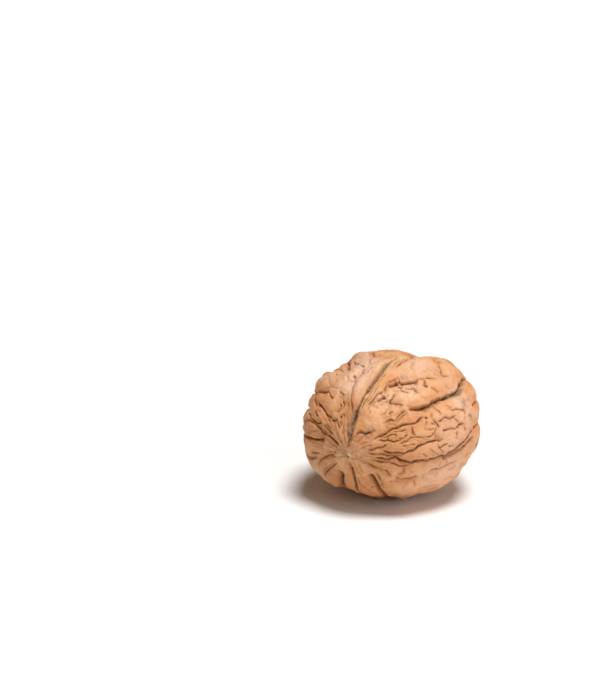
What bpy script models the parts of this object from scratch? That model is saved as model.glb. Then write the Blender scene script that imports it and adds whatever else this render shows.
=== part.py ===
"""A walnut in its closed shell, lying on its seam as it would on a table.

The nut grew as one piece, so it is one solid. Its form has three layers, each worked out by a rule from the one
below: a mean egg shape, broad lobes and the raised seam on it, and the creases that part the shell into pillows.
A place on the shell is given as a longitude and a latitude in degrees. Longitude 0 is the middle of the +X
cheek, 90 the seam on top and -90 the seam below. Latitude 90 is the tip, at -Y, and -90 the stem scar, at +Y.
"""

import math
import random
from collections import namedtuple

import bmesh
import bpy
import numpy as np
from mathutils import Matrix, Vector, noise

MM = 0.001

# Driving dimensions of the mean shape, before its relief
LENGTH = 41.5 * MM
CHEEK_WIDTH = 39.4 * MM
SEAM_HEIGHT = 32.0 * MM
NOSE_DOWN = math.radians(3)
FLAT_DEPTH = 0.35 * MM
SEMI_AXES = np.array((CHEEK_WIDTH, LENGTH, SEAM_HEIGHT)) / 2

# How fine the surface is
SPHERE_SUBDIVISIONS = 7
NODE_TRIANGLES = 11600
NARROWEST_CREASE = 0.35

SHELL_COLOUR = (0.60, 0.33, 0.17, 1.0)

# A broad swelling or dip: height at its middle and reach, in millimetres, and where it is
Lobe = namedtuple("Lobe", "height reach longitude latitude")
# A raised band or a crease along a route of (longitude, latitude) points, also in millimetres
Band = namedtuple("Band", "height half_width route")
Crease = namedtuple("Crease", "depth half_width route")

LOBES = (
    Lobe(1.2, 4.5, -126, 46),
    Lobe(0.7, 4.0, -104, 54),
    Lobe(0.6, 4.5, -76, 48),
    Lobe(0.5, 7.0, -45, 38),
    Lobe(-0.6, 4.0, 84, -8),
    Lobe(0.6, 6.0, 62, -14),
    Lobe(0.8, 5.0, 55, -32),
    Lobe(-1.1, 3.6, 83, -25),
    Lobe(-0.8, 1.9, 82.5, -25),
    Lobe(-1.4, 1.6, 2, -24),
    Lobe(0.35, 2.5, 28, -30),
    Lobe(0.5, 5.0, -46, 7),
    Lobe(0.4, 3.0, -17, -14),
    Lobe(-1.4, 2.1, -28, -6),
    Lobe(-1.2, 2.2, -78, 33),
    Lobe(-0.8, 4.0, -97, 37),
    Lobe(1.1, 3.0, -151, 38),
    Lobe(-0.5, 2.3, 155, 17),
    Lobe(0.7, 2.6, 139, 8),
    Lobe(0.6, 3.0, 135, 22),
    Lobe(0.4, 2.2, 174, 29),
    Lobe(-1.6, 1.5, 134, 4),
    Lobe(-1.0, 1.5, 126, -2),
    Lobe(0.5, 3.2, 117, -9),
    Lobe(0.5, 5.0, 137, 30),
    Lobe(0.4, 5.0, 172, 42),
    Lobe(0.3, 3.0, 105, 24),
    Lobe(0.3, 3.0, 124, 31),
    Lobe(0.3, 2.8, 130, 47),
    Lobe(0.3, 2.6, 167, 51),
    Lobe(0.3, 2.2, 61, 35),
    Lobe(-0.35, 2.2, 64, 53.5),
    Lobe(0.7, 3.5, 66, 6),
    Lobe(-0.6, 3.0, 70, 27),
    Lobe(0.5, 3.5, 49, 13),
    Lobe(0.6, 8.0, 150, -35),
    Lobe(0.5, 7.0, -150, -25),
    Lobe(-0.5, 6.0, -170, 5),
    Lobe(0.5, 7.0, 60, -50),
    Lobe(-0.6, 3.2, 90, -88),
)
# The seam runs over the top from tip to stem scar, and back underneath
SEAM_TOP = (
    (135, 86.8), (105, 84.5), (99, 82), (96, 79.5), (93.5, 77), (93, 75), (93, 71), (92.5, 67), (90.3, 63), (89.3, 58), (88, 51.5), (87.3, 45.5),
    (87.3, 41), (87.3, 38), (87, 33), (86.5, 28), (85.8, 21), (85.5, 16), (84.3, 8), (82.5, -2), (82, -12),
    (83, -22), (85, -35), (87, -48), (88, -60), (89, -73), (90, -86),
)
SEAM_BELOW = (
    (-140, 87), (-106, 82.5), (-95, 79), (-91.5, 75.5), (-91, 71), (-90.5, 66), (-90.5, 61), (-91.5, 56.5),
    (-91.5, 52.5), (-91, 48), (-90, 40),
    (-90, 25), (-90, 10), (-89, -5), (-88, -20), (-89, -35), (-90, -50), (-90.5, -68), (-91, -86),
)
SEAM_WELTS = (
    Band(0.50, 2.1, SEAM_TOP),
    Band(-1.1, 1.9, ((82, -6), (82, -14), (83, -22), (85, -35), (86, -46), (87, -56))),
    Band(0.45, 2.0, SEAM_BELOW),
    Band(0.60, 1.4, ((97, 55), (98, 46), (98, 38), (95.5, 30), (92, 22), (89, 12))),
    Band(0.30, 1.0, ((84, 60), (83, 50), (81.5, 42), (81, 34), (81, 24), (80, 14), (80, 5))),
)

SEAM_SLITS = (
    Crease(0.60, 0.60, (
        (103, 83.5), (99, 82), (96, 79.5), (93.5, 77), (93, 75), (93, 71), (92.5, 67), (90.3, 63), (89.3, 58),
        (88, 51.5),
    )),
    Crease(0.85, 0.36, (
        (92, 66), (90.3, 63), (89.3, 58), (88, 51.5), (87.3, 45.5), (87.3, 41), (87.3, 38), (87, 34),
    )),
    Crease(0.55, 0.32, ((87.3, 38), (87, 33), (86.5, 28), (85.8, 21), (85.5, 16))),
    Crease(0.55, 1.00, ((87, 42), (86.5, 33), (86, 28), (85.5, 21), (85, 15), (84.5, 10))),
    Crease(0.60, 0.35, (
        (82, -12), (83, -22), (85, -35), (87, -48), (88, -60), (89, -73), (90, -86),
    )),
    Crease(1.00, 0.35, SEAM_BELOW),
)

# Creases of the side that faces the tip, each placed by hand; first those along the seam and by the tip
SEAM_LIP_CREASES = (
    Crease(0.50, 0.35, (
        (95.5, 61), (96.5, 58), (97, 55), (98, 52), (99.8, 49.5), (101, 46), (102, 42), (102.2, 37),
        (102, 34), (100.5, 31), (99, 27), (99.5, 23), (100, 20),
    )),
    Crease(0.30, 0.35, (
        (100, 20), (97.5, 16.5), (96, 13), (92.5, 7.5), (91, 3), (88.5, -2), (86, -5), (84, -8), (83, -13),
    )),
    Crease(0.35, 0.28, ((92.4, 20), (94, 22.5), (94, 26), (95.5, 28), (97.3, 27.5), (98.7, 25))),
    Crease(0.60, 0.28, ((119, -4), (115.5, 6), (110, 12), (104, 17), (100, 20))),
    Crease(0.50, 0.32, ((108, -8), (106.8, -5), (104, -1), (100, 4), (98.5, 1), (97, -2))),
    Crease(0.20, 0.30, ((100.3, 8), (99.5, 12), (98.5, 16))),
    Crease(0.40, 0.60, ((105, 28.5), (103.5, 29.5), (102, 30.5))),
    Crease(0.30, 0.35, ((101.7, 49.5), (101.6, 52), (101, 55))),
    Crease(0.55, 0.32, (
        (80.5, 54), (79.5, 50), (79, 47), (78.5, 43.5), (77, 40), (75.5, 37), (76, 34), (77, 31), (78, 28.5),
    )),
    Crease(0.30, 0.25, ((79, 57), (78, 51.5), (77, 49.8), (76.4, 45.5))),
    Crease(0.25, 0.25, ((75, 57), (75, 55), (75, 53.5))),
    Crease(0.45, 0.30, ((79, 16), (78.3, 11), (78.4, 8), (78, 3.5), (77.7, 0), (77.5, -7))),
    Crease(0.30, 0.28, ((77.5, 28.5), (76.5, 26), (75, 22.5), (74, 20.5))),
    Crease(0.70, 0.40, ((81, -2.5), (79.5, -3.5), (78, -5), (77, -6))),
    Crease(1.00, 0.50, ((75, 46), (73.5, 43.5), (71.5, 41))),
    Crease(0.60, 0.40, ((75, 36), (74, 37), (73, 38))),
)
TIP_CREASES = (
    Crease(0.35, 0.35, (
        (84, 78), (80, 74.5), (77, 72.3), (73, 71), (67, 70.8), (61.5, 70), (58, 68), (55, 65),
    )),
    Crease(0.35, 0.32, ((99, 82), (101, 74), (103, 66), (104, 60))),
    Crease(0.28, 0.28, ((113, 81), (111, 73), (110, 66))),
    Crease(0.22, 0.24, ((128, 81), (130, 76), (129, 70))),
    Crease(0.30, 0.28, ((68, 80), (64, 74), (60, 70))),
    Crease(0.20, 0.22, ((54, 80), (50, 77), (47, 74))),
    Crease(0.22, 0.22, ((38, 81), (36, 77), (34, 73))),
    Crease(0.20, 0.22, ((4, 82), (0, 79), (-2, 76))),
    Crease(0.20, 0.22, ((-24, 82), (-24, 77), (-25, 72), (-24, 67))),
    Crease(0.20, 0.22, ((-60, 81), (-66, 76), (-70, 71))),
)

# The left cheek
LEFT_CHEEK_ABOVE = (
    Crease(1.20, 0.42, (
        (133, -14), (128, -7), (124.5, -1), (121, 4), (118, 10), (115, 16), (112.5, 22),
    )),
    Crease(0.50, 0.30, ((126, 12), (122, 16), (117.5, 19), (114.5, 21))),
    Crease(0.30, 0.25, ((113, 17), (111, 17), (109.5, 17.5))),
    Crease(0.25, 0.28, ((121.5, 22.5), (120, 25.5), (117, 25.5))),
    Crease(0.35, 0.30, ((115.5, 40), (113, 41.5), (110.5, 43.5), (111, 45), (114, 48))),
    Crease(0.35, 0.28, ((108.5, 43.5), (110, 47), (109.5, 49.5))),
    Crease(0.90, 0.36, (
        (166, 3), (160, 10), (154, 17), (147, 25), (140, 32), (136, 33.5), (131.5, 36), (125, 39),
    )),
    Crease(0.45, 0.25, ((124.5, 39.5), (123.5, 42), (120.5, 46))),
    Crease(0.50, 0.40, ((142, 30.5), (143, 35.5), (142.5, 40.5), (142, 44.5))),
    Crease(0.70, 0.38, (
        (139.5, 41), (138.5, 43.5), (137, 47.5), (134.5, 52), (133, 56), (130, 58), (127.5, 60),
    )),
    Crease(0.60, 0.35, ((128.5, 60), (127, 61.5), (123.5, 62.5), (121.5, 62), (119.5, 61.5))),
    Crease(0.50, 0.30, ((144.5, 46), (145.5, 50.5), (143.5, 53))),
    Crease(0.45, 0.30, ((154, 43.5), (155, 46), (155.5, 48.5))),
    Crease(0.90, 0.36, (
        (172, 12), (167, 19), (163, 25), (159, 30), (156.5, 34), (155.5, 37), (156, 40),
    )),
    Crease(0.50, 0.35, ((162, 35), (161.5, 38), (161, 40))),
    Crease(0.50, 0.35, ((113, 50.5), (113.5, 53.5), (116, 56), (117, 57.5))),
    Crease(0.45, 0.35, ((109.5, 49), (109, 52), (109.3, 54))),
    Crease(0.40, 0.32, ((108, 59), (108, 60.5), (108, 62))),
    Crease(0.45, 0.50, ((113.5, 60), (113, 61), (112.5, 62))),
    Crease(1.10, 0.36, (
        (186, 26), (182, 36), (180, 44.5), (178.2, 49.5), (176.3, 55), (174.2, 59.6), (171, 64), (169, 67),
    )),
    Crease(0.25, 0.25, ((163, 76), (161.5, 77.5), (160, 79))),
    Crease(0.60, 0.33, (
        (160.5, 43.5), (160, 46), (156, 51.5), (155.5, 54), (155.5, 56.5), (155.5, 59), (157, 61.5),
        (157, 63.5), (156, 66), (155, 67.5), (153, 69), (152, 71.5), (151.5, 74), (152, 76), (151, 78), (147, 79.5),
    )),
    Crease(0.30, 0.25, ((154, 59), (152.5, 62), (152, 66))),
    Crease(0.80, 0.36, (
        (187, 18), (182, 25), (177, 31), (172.5, 35.5), (168.5, 37), (167, 40), (164, 42.5), (161, 44),
    )),
    Crease(0.60, 0.35, ((155, 48), (154, 51), (152, 54.5), (147.5, 56.5), (143, 56.5))),
    Crease(0.30, 0.40, ((135.5, 55), (133.5, 58), (132.5, 61.5))),
    Crease(0.35, 0.35, ((142.5, 59), (144, 62), (143, 65), (142, 68.5), (141.5, 71))),
    Crease(0.30, 0.30, ((139.5, 60.5), (139, 63.5), (137, 66.5))),
    Crease(0.45, 0.32, ((120.5, 63), (120.5, 66), (119.5, 69.5))),
    Crease(0.35, 0.30, ((114.5, 64.5), (115, 67), (117, 68.5))),
    Crease(0.25, 0.40, ((114, 71), (115, 73), (116, 75))),
)
LEFT_CHEEK_BELOW = (
    Crease(0.40, 0.33, ((-161.5, 48), (-161.5, 51), (-163, 56.5), (-163.5, 62))),
    Crease(0.60, 0.38, ((-157, 38), (-155, 41.5), (-154, 46.5), (-154.5, 51), (-156, 55))),
    Crease(0.50, 0.36, (
        (-145, 52.5), (-149.5, 56.5), (-153.5, 61.5), (-157, 66), (-160, 70), (-161.5, 74), (-161, 77),
    )),
    Crease(0.20, 0.30, ((-168, 70.5), (-173, 75), (-175, 79))),
    Crease(0.40, 0.33, ((-137, 53.5), (-138, 59), (-139, 65), (-140, 69), (-141, 73))),
    Crease(0.60, 0.38, (
        (-132, 51), (-133.5, 56), (-134, 60), (-135, 64.5), (-136.5, 68.5), (-137, 72), (-137, 75),
    )),
    Crease(1.40, 0.80, ((-117, 70), (-117, 64), (-115.5, 60), (-114, 54), (-113, 46), (-112, 36))),
)

# The right cheek below the tip
LOWER_RIGHT = (
    Crease(0.35, 0.40, ((-84, 69), (-84, 62), (-81, 57), (-78, 53))),
    Crease(0.25, 0.35, ((-78, 74), (-75, 72), (-72, 70))),
    Crease(1.30, 0.80, (
        (-58, 70), (-61, 65), (-65, 58), (-67, 54), (-69, 49), (-71, 43), (-74, 37), (-78, 31), (-82, 24), (-84, 14),
    )),
    Crease(0.50, 0.40, ((-71.5, 58), (-70.5, 57), (-69.5, 56.5))),
    Crease(0.45, 0.32, (
        (-45, 69), (-46.5, 67), (-48, 65.3), (-49.5, 63.7), (-53, 61), (-56, 58.3), (-57.5, 56), (-58.5, 53),
    )),
    Crease(0.35, 0.30, ((-57, 59.5), (-59.5, 56), (-60.5, 53))),
    Crease(0.50, 0.33, (
        (-33, 80.3), (-32.5, 77.7), (-35, 75), (-34.5, 72.6), (-33.5, 71.2), (-31.5, 69.3), (-32.5, 67.2),
        (-31, 65.2), (-31.2, 63.6), (-33, 62.2), (-33.8, 60.7), (-32.3, 59.5),
    )),
    Crease(0.55, 0.33, (
        (-33.5, 58.2), (-33.3, 56.3), (-35.7, 54.3), (-35, 53), (-34, 51.7), (-31.8, 50.8), (-31, 48.9),
        (-30.3, 47.2), (-28.3, 46), (-27.2, 45), (-26, 44),
    )),
    Crease(0.30, 0.28, ((-30.5, 46.5), (-35, 43), (-40, 39.8))),
    Crease(0.30, 0.30, ((-46.5, 57), (-43.5, 56), (-41.3, 55), (-40, 53))),
    Crease(0.30, 0.35, ((-16, 56), (-17, 55), (-21, 54.5), (-24.5, 54.5), (-26.5, 56), (-27.8, 57.3))),
    Crease(0.50, 0.32, (
        (-8, 79), (-13, 75), (-15.5, 72), (-15, 70.2), (-15.4, 67.8), (-13.5, 65.2), (-13.3, 63.4),
        (-13.6, 61.8), (-15.3, 60.2), (-16, 58.7), (-15.8, 57.2), (-15, 55.5), (-13.8, 54), (-12, 52.6),
        (-10.5, 51.5),
    )),
    Crease(0.30, 0.28, ((-7, 65.5), (-10.5, 65.3), (-13, 65))),
    Crease(0.90, 0.38, (
        (-6.5, 75), (-7, 72.8), (-6.8, 70.8), (-8, 68.7), (-7.5, 67), (-6.3, 65.5), (-5, 64.5), (-3.7, 63),
        (-2.6, 62), (-3.2, 61), (-5.3, 60), (-7.5, 58.6), (-8.5, 57), (-9.2, 55), (-9.4, 52.7), (-9.7, 51),
        (-8.6, 49.7), (-7.6, 47.3), (-7.8, 44.5), (-8.2, 41.6), (-7.7, 38.5), (-7.2, 35.8), (-6.4, 33),
        (-6.5, 30.4), (-6, 27.5), (-5.3, 24.6), (-4.7, 22), (-4.1, 19.3), (-3.2, 16.7), (-1.7, 14),
        (-0.7, 12), (0, 9.5), (1.2, 6), (2.5, 3), (4, 0), (5, -5),
    )),
    Crease(0.50, 1.10, ((-9.5, 40), (-9, 33), (-8.5, 27.5), (-7.5, 22), (-6.5, 16), (-4, 10), (-2, 4), (0, -3))),
    Crease(0.40, 0.30, (
        (-23, 38), (-21, 35.9), (-20, 33.2), (-18.8, 30.6), (-17.5, 28), (-16.3, 25.1), (-15.3, 22.5),
        (-14.9, 20.4), (-14.5, 18), (-13, 16),
    )),
    Crease(0.20, 0.30, ((-24.5, 36), (-24.3, 33), (-22.8, 30.5), (-26, 29.3), (-29, 30.5))),
    Crease(0.30, 0.35, ((-4, 18.5), (-5.5, 17.3), (-8.5, 17), (-11, 17))),
    Crease(0.30, 0.30, ((-13.5, 9.5), (-12.3, 7), (-12, 4.8))),
    Crease(0.25, 0.30, ((-23.5, 20.8), (-21, 21), (-20.5, 18), (-18.5, 16.3))),
    Crease(0.25, 0.30, ((-33, 20.3), (-31.2, 17), (-29.5, 13.8))),
    Crease(0.30, 0.40, ((-50, 22), (-45, 20), (-42, 18.5))),
    Crease(0.28, 0.35, ((-44, 36), (-42, 27), (-39, 18))),
    Crease(0.40, 0.35, ((-34, 14), (-33, 9), (-34, 3))),
)

# The rows of pillows on the right cheek
RIGHT_CHEEK = (
    Crease(0.55, 0.33, (
        (16, 79), (13.5, 77.5), (8.5, 75), (6.3, 72.5), (5, 70), (2.5, 68), (1, 66.5), (0.5, 64), (0, 62),
        (0.5, 60), (1.5, 58.3), (3, 57),
    )),
    Crease(0.70, 0.35, (
        (15, 69), (11, 67.3), (8.5, 65.5), (6.5, 63.5), (5.3, 60.7), (5, 58.5), (4.2, 55.8), (5, 53.3),
        (5.8, 51), (7, 48.7), (8.7, 46.3), (9.8, 44.3), (10.2, 41.5), (10.9, 38.2), (10.5, 35.5), (10, 33),
        (9.7, 31), (10.3, 28.5),
    )),
    Crease(0.50, 0.30, ((25, 78), (23, 75), (21.7, 72), (21.3, 69.5), (21.3, 68.2), (23.5, 66.2), (25, 65.3))),
    Crease(0.50, 0.32, (
        (38.5, 69.5), (36, 67.5), (31, 65), (27.5, 62.3), (24.3, 60.2), (24, 58.3), (23.7, 55.8), (24.7, 54.3),
    )),
    Crease(0.40, 0.30, (
        (23.7, 57.5), (22, 56.8), (19.7, 56.2), (19, 55.5), (19.6, 54), (19.3, 52.8), (21, 51.2), (21.3, 49),
        (20.8, 47.3), (20, 45.2), (18.2, 43), (17, 41.5), (15.3, 40.5), (13, 38.5),
    )),
    Crease(0.45, 0.28, ((33, 45.3), (30, 46.2), (27, 46.5), (24, 46.5), (21.5, 46.3))),
    Crease(0.75, 0.33, (
        (42, 70.5), (42.5, 68), (41, 65.7), (41, 64), (40.2, 62.2), (41, 60.5), (41.4, 58), (40.8, 56),
        (39.7, 54.5), (39.6, 52.5), (39, 50.2), (38.2, 48.6), (36.5, 46), (34.8, 43.8), (33.7, 41.8),
        (34, 40), (35, 38), (34.8, 36.2), (34.7, 35),
    )),
    Crease(0.25, 0.25, ((39, 66.5), (37, 64), (34, 62.5))),
    Crease(0.30, 0.25, ((33.5, 62), (35, 61.5), (34.5, 59.7), (32, 57.5), (28, 58))),
    Crease(0.30, 0.25, ((33.5, 62), (31, 62.8), (28.5, 63.5))),
    Crease(0.45, 0.30, (
        (54, 59), (53.2, 56.5), (52.8, 55), (52, 53.2), (50.5, 52.5), (48.7, 52.2), (48, 50.8), (48.4, 49),
        (49, 46.5), (49.5, 43.5), (48.8, 41.5), (48, 39.5),
    )),
    Crease(0.35, 0.26, ((46, 52.5), (45.8, 50.8), (45.6, 48), (46, 45.5), (46.5, 43), (47.8, 40.3))),
    Crease(0.45, 0.28, ((35, 16.2), (32, 15), (30.2, 13.3))),
    Crease(0.40, 0.30, (
        (30.7, 19.3), (30, 16), (29, 14.8), (27.4, 12.4), (26.2, 8.3), (24.3, 4.5), (22.7, 3), (20.8, 3.7),
        (19, 1.7),
    )),
    Crease(0.35, 0.30, ((33, -3.5), (29.5, -3.5), (27.6, -5), (27.4, -9), (28, -12))),
    Crease(0.25, 0.28, ((31.2, 34.8), (29.3, 36), (26.3, 37.5), (22.5, 39))),
    Crease(0.25, 0.35, ((22.5, 39), (22, 36.3), (21.5, 34), (22, 32.8))),
    Crease(0.40, 0.28, ((30, 31.5), (28.3, 30.8), (26.2, 30.3), (23.8, 29.6), (21.8, 29.8), (20, 29.8))),
    Crease(0.45, 0.33, (
        (26.3, 28.5), (25.3, 27), (24.8, 25.8), (25, 24.2), (26, 22.5), (25, 21), (23.8, 19.7), (22.6, 19),
        (23, 16.8), (23, 14), (24, 12),
    )),
    Crease(0.30, 0.40, ((34.5, 29), (32.5, 30.5), (30.5, 31.8))),
    Crease(0.40, 0.50, ((34, 33.5), (33.3, 34.3), (32.6, 35))),
    Crease(0.60, 0.50, ((12.2, 15.8), (13.7, 14.8), (14.5, 13.5), (15, 12), (14, 9.5))),
    Crease(0.45, 0.30, ((18, 5), (16.7, 7.5), (13.5, 9), (9.5, 8.5), (6.5, 8.5))),
    Crease(0.40, 0.35, ((17, 28.5), (16.5, 26.5), (16, 23), (14.8, 19.7), (13.5, 17.8), (12, 17.3))),
    Crease(0.35, 0.28, ((11.8, 17.8), (8, 18), (4.8, 18.5))),
    Crease(0.35, 0.30, ((13, 34.5), (14, 33.4), (14.7, 32.3))),
    Crease(0.35, 0.28, ((8.5, 33.5), (5.3, 33.2), (2.5, 31.7), (3.3, 29.3), (4.5, 27.2), (4.7, 26.3))),
    Crease(0.30, 0.28, ((3, 24.8), (1, 24.5), (1.3, 22.3), (1.5, 21))),
    Crease(0.30, 0.30, ((18.5, 1.5), (16.5, -1), (15.5, -4))),
    Crease(0.25, 0.30, ((19.5, -6), (19, -7), (19, -8))),
)
GREAT_CREASES = (
    Crease(1.50, 0.55, (
        (48, 39.5), (46.5, 37), (44.6, 35.5), (43.3, 33), (42, 30.2), (41.2, 28), (41.2, 25.5), (40.8, 22),
        (40.3, 19), (39.8, 15.3), (38.9, 12.2), (38.6, 9),
    )),
    Crease(1.50, 0.65, (
        (40.1, 17), (39.8, 15), (38.9, 12.2), (38.6, 8.4), (37.8, 5), (37.7, 1.5), (36.7, -2), (37.2, -6),
        (38.3, -9), (39.5, -13), (40, -20), (41, -26),
    )),
    Crease(0.60, 0.50, ((36.7, -2), (35.5, -5), (34.3, -7))),
)

# The crumpled part between the seam and the great crease
CRUMPLED = (
    Crease(1.50, 0.75, ((76.5, 31), (74.5, 28.5), (73, 26.5), (71.5, 24.3))),
    Crease(0.70, 0.40, ((71.5, 24), (71, 23.4), (70.5, 22.8))),
    Crease(0.90, 0.40, ((70, 23.8), (69, 23.5), (66, 22), (64, 20.5), (62, 18.7), (60.5, 17.5))),
    Crease(0.45, 0.28, ((63, 18.5), (61.5, 16.5), (59.5, 13.8), (57.8, 11.4), (55.3, 9.3), (52.3, 5.2))),
    Crease(0.90, 0.38, ((58, 13.5), (56.8, 15), (55, 17), (53.3, 17.5), (51.6, 17.3))),
    Crease(0.45, 0.28, ((51, 17), (48.5, 15), (46, 14.2), (44, 13.5))),
    Crease(0.60, 0.33, (
        (60, -9), (59.2, -7.5), (56, -4.8), (54.2, -3), (52.7, -2), (51.3, -3.2), (49, -7.5),
    )),
    Crease(0.50, 0.33, (
        (69, -13), (67, -13), (64.8, -10.5), (62.8, -9.8), (61.8, -9.2), (61.5, -12), (60.8, -15),
    )),
    Crease(0.60, 0.35, ((69, 29), (68, 27.7), (66.5, 26.3))),
    Crease(0.40, 0.28, ((68.5, 34), (67.5, 31), (65, 29.7), (62, 30), (59.5, 30), (58, 30))),
    Crease(0.50, 0.28, ((64, 28), (61, 26), (59, 24.5), (56.5, 25), (53, 25.7))),
    Crease(0.30, 0.25, ((63.5, 24.5), (62.7, 23.7), (62, 23))),
    Crease(0.35, 0.25, ((61, 21), (60, 20), (59, 19))),
    Crease(0.55, 0.30, (
        (67, 34.5), (66.3, 36), (65.7, 39), (65.3, 41.5), (64, 42.6), (61.5, 42), (59, 41), (57, 40),
        (55, 40), (53, 39),
    )),
    Crease(0.30, 0.25, ((53, 39), (50.5, 37.5), (48, 37))),
    Crease(0.35, 0.25, ((68, 43), (67, 43), (66, 43))),
    Crease(0.30, 0.25, ((60, 43.7), (56.5, 41.5), (54, 41.2))),
    Crease(0.30, 0.25, ((58.5, 44.5), (57, 43.8), (55.5, 43))),
    Crease(0.35, 0.28, ((55.8, 47), (57, 49.5), (58, 51))),
    Crease(0.28, 0.24, ((63.5, 46), (62, 49), (62.5, 52), (64.5, 55))),
    Crease(0.25, 0.22, ((70.5, 37), (70, 40), (69, 45), (70, 49))),
    Crease(0.30, 0.30, ((63, 8), (62.2, 8.5), (61.5, 9))),
    Crease(0.25, 0.50, ((46, 4), (44, 3.2), (42, 2.5))),
    Crease(0.35, 0.45, ((63, -22), (60, -23.5), (56, -25), (50, -26))),
)

# Past the right edge of the photo, on to the hidden side; guessed
ROUND_THE_EDGE = (
    Crease(1.00, 0.45, ((40, -20), (41, -28), (38, -37), (39, -47), (36, -58))),
    Crease(0.70, 0.36, ((20, -10), (21, -19), (18.5, -28), (21, -38), (20, -50))),
    Crease(0.95, 0.38, ((2, 0), (5, -8), (5, -16), (2, -24), (4, -34), (2, -45), (4, -55))),
    Crease(0.65, 0.36, ((-12, -6), (-13, -15), (-11, -25), (-14, -35), (-12, -48))),
    Crease(0.85, 0.40, ((-27, 4), (-28, -6), (-29, -17), (-26, -28), (-29, -40), (-28, -52))),
    Crease(0.65, 0.36, ((-45, 14), (-44, 4), (-46, -7), (-43, -18), (-46, -30))),
    Crease(0.75, 0.38, ((-62, 26), (-61, 14), (-64, 3), (-61, -9), (-64, -21))),
    Crease(0.40, 0.32, ((22, -7), (29, -13), (39, -16))),
    Crease(0.45, 0.32, ((20, -33), (29, -30), (38, -35))),
    Crease(0.40, 0.32, ((4, -20), (12, -23), (20, -20))),
    Crease(0.45, 0.32, ((4, -38), (12, -35), (20, -39))),
    Crease(0.40, 0.32, ((-12, -19), (-5, -16), (3, -20))),
    Crease(0.45, 0.32, ((-13, -40), (-5, -42), (3, -38))),
    Crease(0.40, 0.32, ((-28, -14), (-20, -18), (-12, -14))),
    Crease(0.45, 0.32, ((-28, -34), (-20, -31), (-13, -36))),
    Crease(0.40, 0.32, ((-45, -3), (-37, -7), (-28, -3))),
    Crease(0.40, 0.32, ((-44, -22), (-36, -19), (-27, -23))),
    Crease(0.40, 0.32, ((-63, 9), (-54, 6), (-45, 10))),
    Crease(0.40, 0.32, ((-62, -14), (-53, -11), (-44, -15))),
)
SHOWN_CREASES = (
    *SEAM_LIP_CREASES, *TIP_CREASES, *LEFT_CHEEK_ABOVE, *LEFT_CHEEK_BELOW,
    *LOWER_RIGHT, *RIGHT_CHEEK, *GREAT_CREASES, *CRUMPLED, *ROUND_THE_EDGE,
)

# Where the hand-placed creases are: within this angle of the direction in which the tip side is seen
SHOWN_FROM = np.array((0.47, -0.84, 0.26))
SHOWN_COSINE = 0.10

# Creases that grow from tip to scar over the rest of the shell
GROWTH_SEED = 11
GROWN_FURROWS = 23
FURROW_STEP = 6
FURROW_ENDS = (-76, 66)


def direction(longitude, latitude):
    """Unit vectors from the nut's centre to these places."""
    lon, lat = np.radians(longitude), np.radians(latitude)
    return np.stack((np.cos(lat) * np.cos(lon), -np.sin(lat), np.cos(lat) * np.sin(lon)), axis=-1)


def on_mean_shape(longitude, latitude):
    return direction(longitude, latitude) * SEMI_AXES


def smoothstep(value, low, high):
    share = np.clip((value - low) / (high - low), 0.0, 1.0)
    return share * share * (3.0 - 2.0 * share)


def curve_through(route, steps=7):
    """Points of a smooth curve through the route's own, on the mean shape."""
    points = np.array([route[0], *route, route[-1]], float)
    share = np.linspace(0.0, 1.0, steps, endpoint=False)[:, None]
    legs = []
    for before, start, end, after in zip(points, points[1:], points[2:], points[3:]):
        legs.append(
            start
            + 0.5 * share * (end - before)
            + share**2 * (before - 2.5 * start + 2.0 * end - 0.5 * after)
            + share**3 * (1.5 * (start - end) + 0.5 * (after - before))
        )
    path = np.concatenate([*legs, points[-1:]])
    return on_mean_shape(path[:, 0], path[:, 1])


def distance_along(points, path):
    """Each point's distance to the path, and how far along the path its nearest place is, from 0 to 1."""
    start, leg = path[:-1], np.diff(path, axis=0)
    leg_squared = np.maximum((leg**2).sum(1), 1e-12)
    to_point = points[:, None, :] - start
    share = np.clip((to_point * leg).sum(2) / leg_squared, 0.0, 1.0)
    squared = ((to_point - share[..., None] * leg) ** 2).sum(2)
    nearest = squared.argmin(1)
    rows = np.arange(len(points))
    along = (nearest + share[rows, nearest]) / len(leg)
    return np.sqrt(squared[rows, nearest]), along


def near(points, path, reach):
    """Which points the box round the path holds, grown by the reach."""
    return ((points > path.min(0) - reach) & (points < path.max(0) + reach)).all(1)


def crease_profile(distance, half_width):
    """The sharp groove of a crease, and the slopes on both sides that round its pillows."""
    groove = np.exp(-((distance / (0.62 * half_width)) ** 1.4))
    slopes = np.exp(-distance / (2.7 * half_width)) * (1.0 - smoothstep(distance, 5.0 * half_width, 9.0 * half_width))
    return 0.50 * groove, 0.60 * slopes


def cut_creases(points, creases):
    """How deep the creases are at each point; where they meet, their depths aren't simply added up."""
    grooves, slopes_cubed = np.zeros((2, len(points)))
    for crease in creases:
        path = curve_through(crease.route)
        half_width = max(crease.half_width, NARROWEST_CREASE) * MM
        close = near(points, path, 9.0 * half_width)
        distance, along = distance_along(points[close], path)
        amount = crease.depth * smoothstep(along, -0.03, 0.14) * smoothstep(1.0 - along, -0.03, 0.14)
        groove, slopes = crease_profile(distance, half_width)
        grooves[close] = np.maximum(grooves[close], amount * groove)
        slopes_cubed[close] += (amount * slopes) ** 3
    return 1.05 * MM * (grooves + np.cbrt(slopes_cubed))


def raise_bands(points, bands):
    height = np.zeros(len(points))
    for band in bands:
        path = curve_through(band.route)
        close = near(points, path, 2.5 * band.half_width * MM)
        distance, along = distance_along(points[close], path)
        taper = smoothstep(along, -0.03, 0.14) * smoothstep(1.0 - along, -0.03, 0.14)
        height[close] += band.height * MM * taper * np.exp(-((distance / (band.half_width * MM)) ** 2))
    return height


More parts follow.
